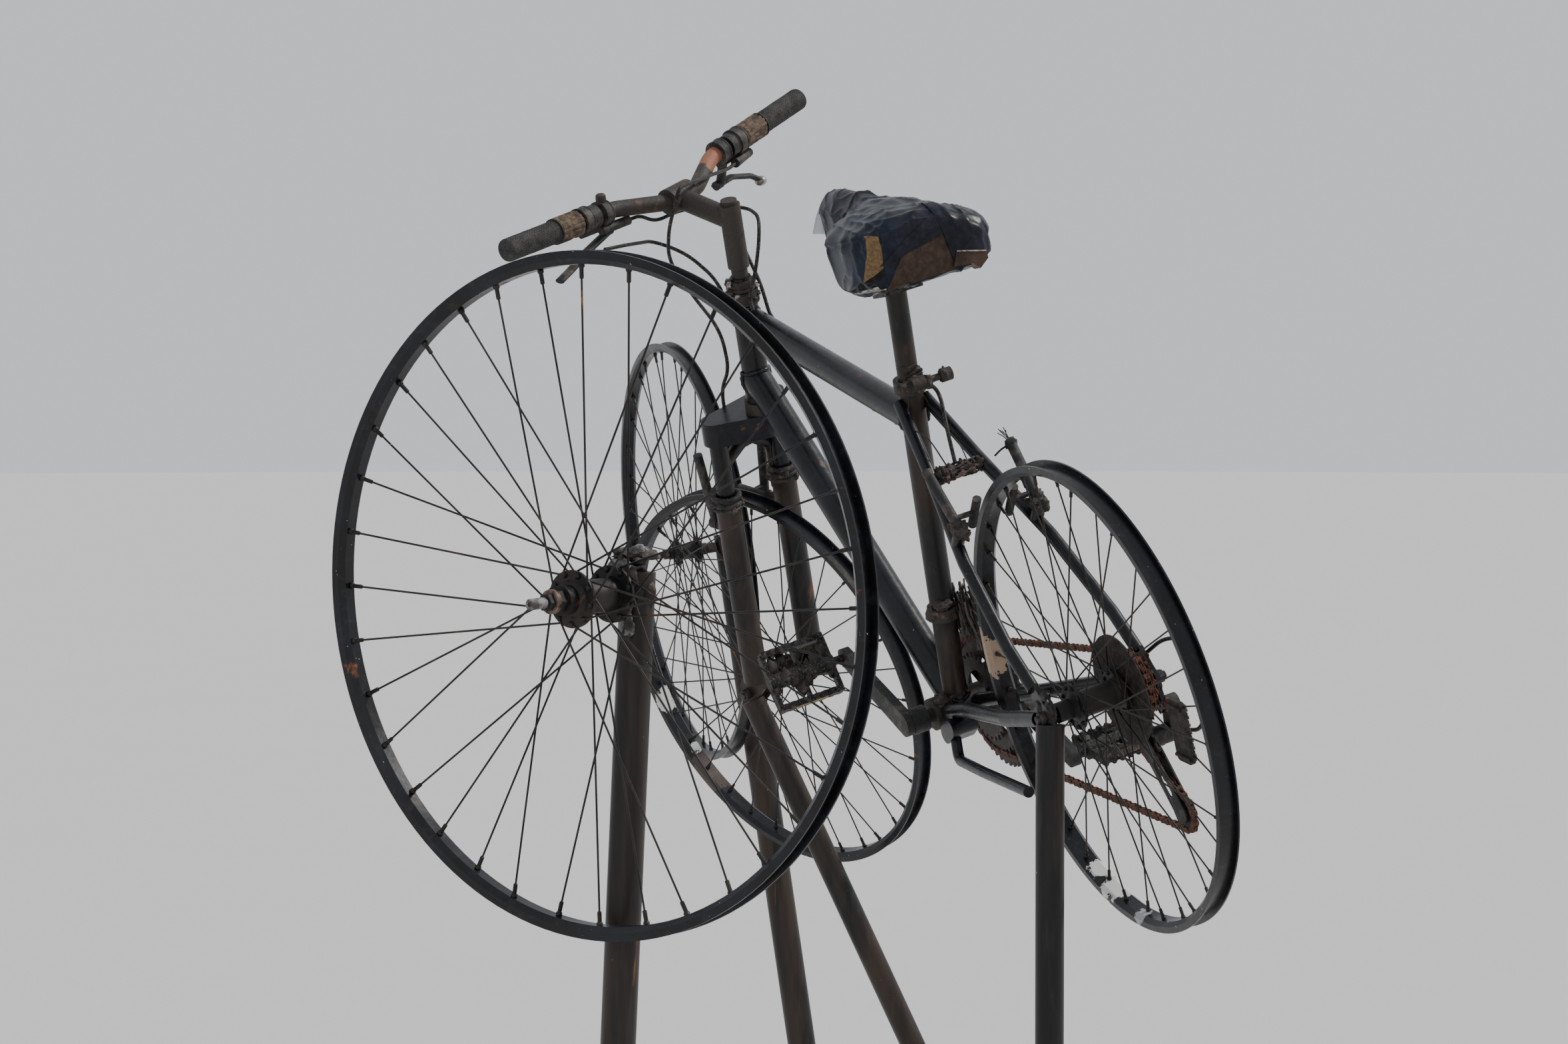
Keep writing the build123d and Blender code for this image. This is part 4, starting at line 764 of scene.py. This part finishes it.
# Chain plates: from and to, out from the chain's middle, and the radius of their ends
INNER_PLATE = (1.3, 2.3, 4.1)
OUTER_PLATE = (2.4, 3.4, 3.9)
PLATE_WAIST = 2.9
ROLLER = ((3.7, -1.25), (3.9, -0.8), (3.9, 0.8), (3.7, 1.25))
PIN = ((1.3, -3.9), (1.8, -3.5), (1.8, 3.5), (1.3, 3.9))
ARC_STEPS = 80


def tangent(first, second):
    """Where a straight run leaves the first circle and where it meets the second."""
    (x1, z1, r1, t1), (x2, z2, r2, t2) = first, second
    length = sqrt((x2 - x1) ** 2 + (z2 - z1) ** 2)
    angle = atan2(z2 - z1, x2 - x1) + acos((t1 * r1 - t2 * r2) / length)
    nx, nz = cos(angle), sin(angle)
    return (x1 + nx * t1 * r1, z1 + nz * t1 * r1), (x2 + nx * t2 * r2, z2 + nz * t2 * r2)


def chain_pins():
    """The pins' places, evenly spaced round the belt."""
    runs = [tangent(BELT[index], BELT[(index + 1) % len(BELT)]) for index in range(len(BELT))]
    line = []
    for index, (x, z, radius, way) in enumerate(BELT):
        start, end = runs[index - 1][1], runs[index][0]
        first, last = atan2(start[1] - z, start[0] - x), atan2(end[1] - z, end[0] - x)
        swept = -((first - last) % (2 * pi)) if way > 0 else (last - first) % (2 * pi)
        for step in range(ARC_STEPS + 1):
            angle = first + swept * step / ARC_STEPS
            line.append(Vector((x + radius * cos(angle), 0, z + radius * sin(angle))))
    line.append(line[0])
    lengths = [(after - before).length for before, after in zip(line, line[1:])]
    gap, pins, travelled = sum(lengths) / LINKS, [], 0.0
    for before, after, length in zip(line, line[1:], lengths):
        while len(pins) < LINKS and len(pins) * gap <= travelled + length:
            pins.append(before.lerp(after, (len(pins) * gap - travelled) / max(length, 0.001)))
        travelled += length
    return pins


def link_plate(start, end, radius, low, high):
    """A plate with round ends at two pins and a narrower waist."""
    along = (end - start).normalized()
    up = Vector((-along.z, 0, along.x))
    outline = []
    for pin, turned, way in ((start, 0.5, -1), (end, -0.5, 1)):
        for step in range(8):
            angle = pi * (turned + step / 7)
            outline.append(pin + along * radius * cos(angle) + up * radius * sin(angle))
        outline.append((start + end) / 2 + up * PLATE_WAIST * way)
    return skin([[point + Vector((0, CHAIN_SIDE + side, 0)) for point in outline] for side in (low, high)])


chain = Form()
pins = chain_pins()
for index, pin in enumerate(pins):
    low, high, radius = INNER_PLATE if index % 2 == 0 else OUTER_PLATE
    for side in (1, -1):
        chain.add(link_plate(pin, pins[(index + 1) % LINKS], radius, side * low, side * high))
    across = shift(pin.x, CHAIN_SIDE, pin.z) @ turn("X", 90)
    chain.add(lathe(ROLLER, 12), across)
    chain.add(lathe(PIN, 10), across)
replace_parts(piece("chain_links", chain, FRAME, ["chain_rust"]), "chain")

# Grips and twist shifters, along the bar from its end
GRIP_CAP = ((3.0, -3.0), (9.5, -3.0), (13.0, -2.4), (14.7, -0.9), (15.3, 1.0))
GRIP_RING = ((15.5, 86.6), (15.5, 89.6), (12.0, 90.0))
GRIP_SIDES, GRIP_ROWS = 126, 130
GRIP_START, GRIP_LENGTH = 2.0, 84.0
KNURLS, KNURL_PITCH = 10.5, 0.70
SHIFTER_SIDES, SHIFTER_ROWS = 120, 56
SHIFTER_START, SHIFTER_LENGTH = 90.6, 44.2
LEVER_RINGS = ((90.4, 17.6), (137.6, 18.6), (151.4, 18.6), (176.6, 17.6), (189.4, 17.6))
BOLTS_AT = (183.0, 160.0)
BOLT = ((5.6, 0), (5.6, 6.5), (4.6, 7.6), (2.6, 7.6), (2.4, 5.2))


def grip_rows(side):
    """A cap, a diamond knurl and a ring at the inner end."""
    rows = [circle(radius, z, GRIP_SIDES) for radius, z in GRIP_CAP]
    for step in range(GRIP_ROWS):
        z = GRIP_START + GRIP_LENGTH * step / (GRIP_ROWS - 1)
        ring = []
        for angle in turns(GRIP_SIDES):
            rising, falling = sin(KNURLS * angle + KNURL_PITCH * z), sin(KNURLS * angle - KNURL_PITCH * z)
            groove = min(abs(rising), abs(falling))
            worn = noise.noise(Vector((angle * 2, z * 0.08, side)))
            radius = 14.6 + 0.8 * min(groove * 2.4, 1.0) + 0.25 * worn
            ring.append((radius * cos(angle), radius * sin(angle), z))
        rows.append(ring)
    return rows + [circle(radius, z, GRIP_SIDES) for radius, z in GRIP_RING]


def shifter_rows(side):
    """Lengthwise ribs, worn away in places."""
    rows = []
    for step in range(SHIFTER_ROWS):
        z = SHIFTER_START + SHIFTER_LENGTH * step / (SHIFTER_ROWS - 1)
        ends = min(step / 3, (SHIFTER_ROWS - 1 - step) / 3, 1.0)
        ring = []
        for angle in turns(SHIFTER_SIDES):
            ribs = step_up(abs(sin(8 * angle + 0.02 * z)), 0.25, 0.75)
            worn = noise.noise(Vector((cos(angle) * 2.2, sin(angle) * 2.2, z * 0.09 + side * 5)))
            radius = 14.8 + ends * (1.6 + 1.3 * ribs * (1 - step_up(worn, 0.05, 0.3)) + 0.9 * worn)
            ring.append((radius * cos(angle), radius * sin(angle), z))
        rows.append(ring)
    return rows


for name, side in (("left", 1), ("right", -1)):
    place = bar_place(side)
    grip = Form().add(skin(grip_rows(side)))
    made = piece("knurled_grip_" + name, grip, place, ["black_rubber"], 60)
    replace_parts(made, "grip_" + name)
    shifter = Form().add(skin(shifter_rows(side)))
    made = piece("worn_shifter_" + name, shifter, place, ["tan_plastic"], 60)
    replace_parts(made, "shifter_" + name)
    fittings = Form()
    for z, radius in LEVER_RINGS:
        fittings.add(collar(radius, z, 5, 1.3, 0.9, 40))
    for z in BOLTS_AT:
        fittings.add(lathe(BOLT, 6), shift(13, 0, z) @ turn("Y", 90), 1)
    piece("lever_fittings_" + name, fittings, place, ["dark_steel", "gunk"])

# Spoke nipples and heads: body, place, rim's diameter, flange's radius, left and right flange's offset
WHEELS = (
    ("near_wheel", NEAR_PLACE, LARGE_RIM_D, 27.0, 28.0, 28.0),
    ("far_wheel", FAR_PLACE, LARGE_RIM_D, 20.0, 16.0, 16.0),
    ("front_wheel", FRONT_WHEEL, SMALL_RIM_D, 20.0, 32.0, 32.0),
    ("rear_wheel", REAR_WHEEL, SMALL_RIM_D, 28.0, 35.0, 20.0),
)
NIPPLE = ((1.2, -13.0), (2.1, -12.4), (2.1, -3.0), (3.0, -2.0), (3.2, 0.2))
SPOKES_A_SIDE = SPOKES // 2
SPOKE_TURN = 360 / SPOKES_A_SIDE
HOLE_INSET = 3.5
RIM_INSET = 13.6
RIM_SIDE = 2.0
for body, place, rim_d, flange_r, left_at, right_at in WHEELS:
    nipples = Form()
    hub_r, rim_r = flange_r - HOLE_INSET, rim_d / 2 - RIM_INSET
    for side, flange_at in ((1, left_at), (-1, right_at)):
        for index in range(SPOKES_A_SIDE):
            lead = 1 if index % 2 == 0 else -1
            at_hub = radians(index * SPOKE_TURN + (side > 0) * SPOKE_TURN / 2)
            at_rim = at_hub + radians(lead * SPOKE_CROSS)
            start = Vector((hub_r * cos(at_hub), hub_r * sin(at_hub), side * flange_at + lead * SPOKE_STEP))
            end = Vector((rim_r * cos(at_rim), rim_r * sin(at_rim), side * RIM_SIDE))
            nipples.add(lathe(NIPPLE, 8), aligned(end, end - start))
            head = start + (start - end).normalized() * 1.0
            nipples.add(lump(head, (3.0, 3.0, 2.6), index, 0.1, rings=5, sides=8))
    piece("nipples_" + body, nipples, place, ["spoke_steel"], body=body)

# Spoke reflector: a ribbed lens in two halves in its housing
REFLECTOR_PLACE = FRAME @ shift(-182, -6, -35) @ turn("Y", 169.1) @ turn("X", 90)
REFLECTOR_RIBS = 15
reflector = Form().add(prism(rounded(17.5, 37.5, 6.0), -4.0, 1.5))
for half, finish in ((1, 1), (-1, 0)):
    for step in range(REFLECTOR_RIBS):
        low = -34.0 + step * 4.6
        rib = rectangle(half * 1.2, low, half * 15.6, low + 3.6)
        reflector.add(prism(rib, 1.0, 3.6 + 0.9 * (step % 2)), finish=finish)
for end in (-30, 30):
    reflector.add(tube([(-16, end, -4.6), (16, end, -4.6)], 2.4, 8))
LENS = ["smoked_plastic", "grey_lens"]
made = piece("ribbed_reflector", reflector, REFLECTOR_PLACE, LENS, 30, "rear_wheel")
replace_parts(made, "spoke_reflector")

# Reflectors in the pedals' recesses, amber on the left and grey with dirt on the right
PEDAL_EDGE = 39.0
PEDAL_MIDDLE = 138.0
for name, side, *spot in PEDALS:
    bars = Form()
    for turned_by in (0, 180):
        recess = turn("Z", turned_by) @ shift(PEDAL_EDGE, 0, PEDAL_MIDDLE) @ turn("Y", 90)
        bars.add(prism(rounded(24.0, 5.0, 1.6, 3), 0.0, 1.4), recess)
        for step in range(12):
            low = -22.6 + step * 3.8
            bars.add(prism(rectangle(low, -4.3, low + 2.9, 4.3), 1.3, 2.1), recess)
    lens = "lens" if side > 0 else "grey_lens"
    piece("pedal_reflectors_" + name, bars, pedal_place(side, *spot), [lens], 30)

# Welds where a tube meets another: from where, to where, its radius, what it meets, thickness and seed
HEAD_TUBE = (HEAD_FOOT, HEAD_UP.normalized(), HEAD_TUBE_D / 2)
SEAT_TUBE = (BRACKET, SEAT_UP.normalized(), SEAT_TUBE_D / 2)
BRACKET_SHELL = (BRACKET, Vector((0, 1, 0)), BRACKET_D / 2)
TOP_REAR, TOP_FRONT = on_seat(TOP_TUBE_ON_SEAT), on_head(TOP_TUBE_ON_HEAD)
DOWN_REAR, DOWN_FRONT = on_seat(DOWN_TUBE_ON_SEAT), on_head(DOWN_TUBE_ON_HEAD)
WELDS = (
    (TOP_REAR, TOP_FRONT, TOP_TUBE_D / 2, HEAD_TUBE, 3.2, 1),
    (TOP_FRONT, TOP_REAR, TOP_TUBE_D / 2, SEAT_TUBE, 3.2, 2),
    (DOWN_REAR, DOWN_FRONT, DOWN_TUBE_D / 2, HEAD_TUBE, 3.4, 3),
    (DOWN_FRONT, DOWN_REAR, DOWN_TUBE_D / 2, BRACKET_SHELL, 3.4, 4),
    (on_seat(SEAT_TUBE_LENGTH), on_seat(0), SEAT_TUBE_D / 2, BRACKET_SHELL, 3.2, 5),
)
welds = Form()
for row in WELDS:
    welds.add(weld(*row))
piece("tube_welds", welds, FRAME, ["black_paint"], 80)

# Crusts of rust, grease and paint on the joints that they grew on: from which point, how far off, and radii
SEAT_CLAMP = on_seat(449)
HUB = Vector()
CRUSTS = (
    ("seat_clamp_crust", "rusty_steel", "gunk", (
        (SEAT_CLAMP, (-22, 4, 0), (9, 12, 10)), (SEAT_CLAMP, (-26, -12, -2), (8, 10, 8)),
        (SEAT_CLAMP, (-26, 20, 1), (6, 8, 6)), (SEAT_CLAMP, (-27, -36, 0), (9, 7, 9)),
        (on_seat(462, -3), (0, 0, 0), (15, 15, 9)), (on_seat(470, 2), (-6, 0, 0), (10, 12, 7)),
    )),
    ("changer_crust", "rusty_steel", "gunk", (
        (on_seat(136, 14), (0, 0, 0), (12, 9, 11)), (on_seat(130, -16), (0, 0, 0), (13, 9, 10)),
        (on_seat(146, 4), (-14, 0, 0), (9, 12, 8)), (on_seat(118, -22), (4, 0, 0), (10, 8, 12)),
    )),
    ("bracket_crust", "rusty_steel", "gunk", (
        (BRACKET, (-14, 22, 14), (12, 12, 8)), (BRACKET, (8, 28, -16), (12, 9, 7)),
        (BRACKET, (-18, 4, -10), (8, 16, 9)),
    )),
    ("hub_crust", "rusty_steel", "red_rust", (
        (HUB, (0, -60, 10), (10, 7, 9)), (HUB, (6, -66, -20), (9, 6, 12)), (HUB, (-8, -74, -34), (10, 6, 10)),
        (HUB, (-4, -52, -92), (5, 3, 11)), (HUB, (-28, -52, -136), (6, 3, 8)),
    )),
    ("dropout_crust", "post_paint", "brown_paint", (
        (HUB, (2, 71, -4), (17, 6, 15)), (HUB, (14, 70, 12), (12, 6, 12)), (HUB, (-13, 70, 8), (10, 6, 13)),
        (HUB, (18, 70, -14), (11, 5, 9)), (HUB, (-6, 69, 24), (9, 5, 9)),
    )),
)
for seed, (name, slot_name, finish, spots) in enumerate(CRUSTS):
    crust = Form()
    for index, (point, off, radii) in enumerate(spots):
        crust.add(lump(point + Vector(off), radii, seed * 7 + index * 3.1, 0.45))
    piece(name, crust, FRAME, [finish], 60)

# Lumps on the near post's end, from the post's axis at the axle: centre and radii
NEAR_POST_LUMPS = (
    ((0, -33, 0), (19, 8, 19)), ((-9, -36, 6), (9, 8, 9)), ((8, -35, 9), (10, 6, 9)),
    ((4, -24, 20), (14, 9, 4)), ((-8, -14, 20), (9, 10, 4)), ((9, -6, 20), (9, 12, 4)),
    ((2, 10, 20), (11, 12, 4)), ((-4, 30, 20), (7, 12, 3)), ((17, -20, 8), (5, 10, 9)),
    ((19, 6, 4), (4, 12, 8)),
)
near_top = Form()
near_top.add(lump((0, 0, -LOOSE_POST_OFF), (21, 21, 12), 4, 0.3, rings=16, sides=24))
near_top.add(lump((4, 8, -LOOSE_POST_OFF - 12), (13, 13, 9), 8, 0.4))
for index, ((x, y, z), radii) in enumerate(NEAR_POST_LUMPS):
    near_top.add(lump((x, y, z - LOOSE_POST_OFF), radii, index * 2.9, 0.5), finish=index % 2)
piece("near_post_weld", near_top, NEAR_PLACE, ["gunk", "grey_crust"], 70)
far_top = Form().add(lump((0, 0, -LOOSE_POST_OFF + 4), (20, 20, 12), 9, 0.3, rings=16, sides=24))
piece("far_post_weld", far_top, FAR_PLACE, ["brown_paint"], 70)

# Crumbled seals at the tops of the fork's legs: height, radius and thickness
FORK_SEALS = ((299, 18.4, 3.2), (306, 19.0, 3.4), (314, 17.2, 4.2))
SEAL_R = 19
SEAL_AT = 304
seals = Form()
for side in (1, -1):
    for height, radius, thick in FORK_SEALS:
        seals.add(bead((FORK_LEG_OFFSET, side * STANCHION_SIDE, height), radius, thick, height + side))
    for step in range(7):
        angle = 0.9 * step + side
        x, y = FORK_LEG_OFFSET + SEAL_R * cos(angle), side * STANCHION_SIDE + SEAL_R * sin(angle)
        seals.add(lump((x, y, SEAL_AT + 5 * sin(step * 2.1)), (5, 5, 6), step * 2.2 + side, 0.5), finish=1)
piece("fork_seals", seals, FORK, ["dark_steel", "gunk"], 70)

# The near wheel's bare axle end and its lock nut
AXLE_END = ((2.2, 80), (2.2, 88.6), (4.6, 88.6), (5.3, 87.6), (5.3, 68.0), (4.4, 67.2))
AXLE_NUT = ((5.0, 54.2), (10.6, 54.4), (11.4, 55.6), (11.4, 59.8), (10.2, 61.0), (5.0, 61.2))
hub_face = Form().add(lathe(AXLE_END, 28)).add(lathe(AXLE_NUT, 32), finish=1)
piece("near_axle_end", hub_face, NEAR_PLACE, ["grey_crust", "pink_metal"], 40)

# Brakes, bridge and bars: crusts, a wrap, bare wires, clips, a lever's bright tip, a knob and lock nuts
STAY_TOP, STAY_FOOT = on_seat(428), Vector((18, 0, 32))
STAY_UP = (STAY_TOP - STAY_FOOT).normalized()
STAY_BACK = Vector((-STAY_UP.z, 0, STAY_UP.x))
BRIDGE = STAY_TOP * 0.73 + STAY_FOOT * 0.27
BRIDGE_R = 9.0
BOSS_SIDE = 54
luck = random.Random(41)


def within(*spans):
    """A point at random within these spans along X, Y and Z."""
    return Vector([luck.uniform(low, high) for low, high in spans])


def scatter(reach):
    return within((-reach, reach), (-reach, reach), (-reach, reach))


def rear_boss(side, reach, up):
    """By a rear brake's boss, this far back from the stay and this far up along it."""
    return (STAY_TOP + STAY_FOOT) / 2 + STAY_BACK * reach + STAY_UP * up + Vector((0, side * BOSS_SIDE, 0))


brake_crust = Form()
for side in (1, -1):
    for step in range(7):
        reach, up = 24 + luck.uniform(-8, 9), luck.uniform(-8, 14)
        centre = rear_boss(side, reach, up) + Vector((0, luck.uniform(-7, 7), 0))
        brake_crust.add(lump(centre, (8, 7, 8), step * 2.7, 0.5))
piece("rear_brake_crust", brake_crust, FRAME, ["gunk"], 60)

wrap = Form()
for step, y in enumerate(range(-27, 28, 6)):
    at = BRIDGE + Vector((luck.uniform(-1.5, 1.5), y, luck.uniform(-1.5, 1.5)))
    size = luck.uniform(7.5, 10.5)
    wrap.add(lump(at, (size, luck.uniform(5, 8), size), step * 2.3, 0.55), finish=step % 3 == 1)
for step in range(5):
    strip = []
    for y in range(-26, 27, 4):
        angle = 1.3 * step + y * 0.03
        strip.append(BRIDGE + Vector((BRIDGE_R * cos(angle), y, BRIDGE_R * sin(angle))))
    wrap.add(tube(smooth_line(strip, 3), 1.7, 6, 1.2), finish=step % 2)
piece("bridge_wrap", wrap, FRAME, ["gunk", "pink_metal"], 60)

# Two wires from the seat clamp to the bridge, and a frayed end on the right arm's head
LEFT_WIRE = (
    on_seat(438, 8) + Vector((-14, 0, 0)), on_seat(400, 22) + Vector((-34, 0, 0)),
    BRIDGE + Vector((12, 20, 46)), BRIDGE + Vector((4, 10, 9)),
)
RIGHT_WIRE = (
    on_seat(436, -8) + Vector((-16, 0, 0)), on_seat(396, -20) + Vector((-26, 0, 0)),
    BRIDGE + Vector((6, -14, 30)), BRIDGE + Vector((0, -16, 9)),
)
ARM_HEAD = rear_boss(-1, 29.3, 95) + Vector((0, -12, 0))
wires = Form()
wires.add(tube(smooth_line(LEFT_WIRE, 10), 0.9, 6))
wires.add(tube(smooth_line(RIGHT_WIRE, 10), 0.8, 6))
wires.add(lump(ARM_HEAD, (8, 8, 8), 3.0, 0.3), finish=1)
lead_in = [ARM_HEAD + Vector(off) for off in ((0, 0, 0), (0, 14, -3), (0, 25, -8))]
wires.add(tube(smooth_line(lead_in, 5), 1.4, 6))
for step in range(6):
    bend = ARM_HEAD + STAY_UP * 13 + scatter(2.5)
    wires.add(tube(smooth_line([ARM_HEAD + scatter(2), bend, bend + STAY_UP * 10 + scatter(4)], 6), 0.6, 5))
piece("brake_wires", wires, FRAME, ["spoke_steel", "dark_steel"])

top_run = (TOP_FRONT - TOP_REAR).normalized()
under_tube = Vector((top_run.z, 0, -top_run.x))
clips = Form()
for reach in (52, 115):
    clips.add(lump(TOP_REAR + top_run * reach + under_tube * 21, (8, 5, 4), reach, 0.3))
piece("cable_clips", clips, FRAME, ["cable_sheath"])

blade_tip = Form().add(lump((6, 80, 102), (8.6, 6.8, 8.6), 1.0, 0.06))
piece("bright_blade_tip", blade_tip, bar_place(-1), ["silver_and_painted_glint"])

KNOB = ((4.0, 12), (6.5, 13), (7.2, 20), (6.8, 25), (4.5, 27))
knob = Form().add(lathe(KNOB, 16), shift(0, 0, 183) @ turn("X", -90))
piece("clamp_knob", knob, bar_place(1), ["dark_steel"])

LOCK_NUTS = ((594, 21.6), (600, 20.6), (606, 18.6), (612, 18.0), (622, 16.6))
lock_nuts = Form()
for height, radius in LOCK_NUTS:
    lock_nuts.add(collar(radius, height, 3, 2.6, 1.6, 44))
# Crust lumps on the lock nuts, every other one silver: painted glints on the crust
for step in range(16):
    angle = luck.uniform(0, 2 * pi)
    at = Vector((19 * cos(angle), 19 * sin(angle), luck.uniform(594, 626)))
    lock_nuts.add(lump(at, (4.5, 4.5, 3.6), step * 1.9, 0.5, rings=7, sides=9), finish=1 + step % 2)
piece("lock_nut_stack", lock_nuts, FORK, ["rusty_bar", "gunk", "silver_and_painted_glint"], 50)

# Fibrous rust hanging round the front derailleur, and flakes on the cassette
fibres = Form()
for step in range(64):
    start = on_seat(150, -24) + within((-34, 12), (-20, 14), (-16, 20))
    middle = start + within((-6, 6), (-6, 6), (-34, -14))
    end = middle + within((-7, 7), (-6, 6), (-34, -12))
    fibres.add(tube(smooth_line([start, middle, end], 5), luck.uniform(0.7, 1.9), 5, 0.5), finish=step % 2)
piece("changer_fibres", fibres, FRAME, ["gunk", "dark_steel"], 60)
flakes = Form()
for step in range(110):
    angle, radius = luck.uniform(0, 2 * pi), luck.uniform(30, 46)
    at = Vector((radius * cos(angle), luck.uniform(-60, -35), radius * sin(angle)))
    flakes.add(lump(at, (3.4, 1.1, 3.0), step * 1.3, 0.6, rings=5, sides=7), finish=step % 3 == 0)
piece("cassette_flakes", flakes, FRAME, ["chain_rust", "red_rust"], 60)

# Crust along the pedals' barrels
for name, side, *spot in PEDALS:
    crust = Form()
    for step in range(15):
        at = Vector((luck.uniform(-26, 26), luck.uniform(-7, 7), 98 + 80 * step / 14))
        crust.add(lump(at, (10, 6.5, 7), step * 2.1 + side, 0.5))
    piece("pedal_crust_" + name, crust, pedal_place(side, *spot), ["gunk"], 60)

FLOOR_RADIUS = 60.0
FLOOR_SIDES = 96
SURROUND = (0.74, 0.77, 0.81, 1.0)
SUN_WAY = (0.10, 0.66, -0.74)
FILL_AT = (-5.0, 4.6, 3.4)
FILL_AIM = (0.4, 0.1, 1.2)


def camera():
    made = bpy.data.objects.new("camera", bpy.data.cameras.new("camera"))
    made.data.sensor_fit = "HORIZONTAL"
    made.data.sensor_width = SENSOR_WIDTH
    made.data.lens = FOCAL_LENGTH
    made.data.clip_end = 200.0
    facing = Matrix((CAMERA_RIGHT, CAMERA_UP, CAMERA_BACK)).transposed().to_4x4()
    made.matrix_world = Matrix.Translation(CAMERA_AT) @ facing
    bpy.context.scene.collection.objects.link(made)
    bpy.context.scene.camera = made


def light(name, lamp, way):
    """A light that shines along a direction."""
    made = bpy.data.objects.new(name, lamp)
    made.rotation_euler = Vector(way).to_track_quat("-Z", "Y").to_euler()
    bpy.context.scene.collection.objects.link(made)
    return made


def studio():
    """A pale round floor, a pale surround and soft lights."""
    mesh = bpy.data.meshes.new("floor")
    mesh.from_pydata(circle(FLOOR_RADIUS, 0.0, FLOOR_SIDES), [], [tuple(range(FLOOR_SIDES))])
    floor = bpy.data.objects.new("floor", mesh)
    bpy.context.scene.collection.objects.link(floor)
    fin = Finish("pale_floor")
    fin.done(fin.mix(fin.noise(0.8, 2.0), (0.60, 0.60, 0.595), (0.62, 0.62, 0.615)), 0.9)
    mesh.materials.append(finishes["pale_floor"])
    world = bpy.data.worlds.new("surround")
    world.use_nodes = True
    world.node_tree.nodes["Background"].inputs["Color"].default_value = SURROUND
    world.node_tree.nodes["Background"].inputs["Strength"].default_value = 0.95
    bpy.context.scene.world = world
    sun = bpy.data.lights.new("key", "SUN")
    sun.energy = 2.6
    sun.angle = radians(11)
    sun.color = (1.0, 0.96, 0.90)
    light("key", sun, SUN_WAY)
    lamp = bpy.data.lights.new("fill", "AREA")
    lamp.shape = "DISK"
    lamp.size = 3.0
    lamp.energy = 50.0
    light("fill", lamp, Vector(FILL_AIM) - Vector(FILL_AT)).location = FILL_AT


camera()
studio()
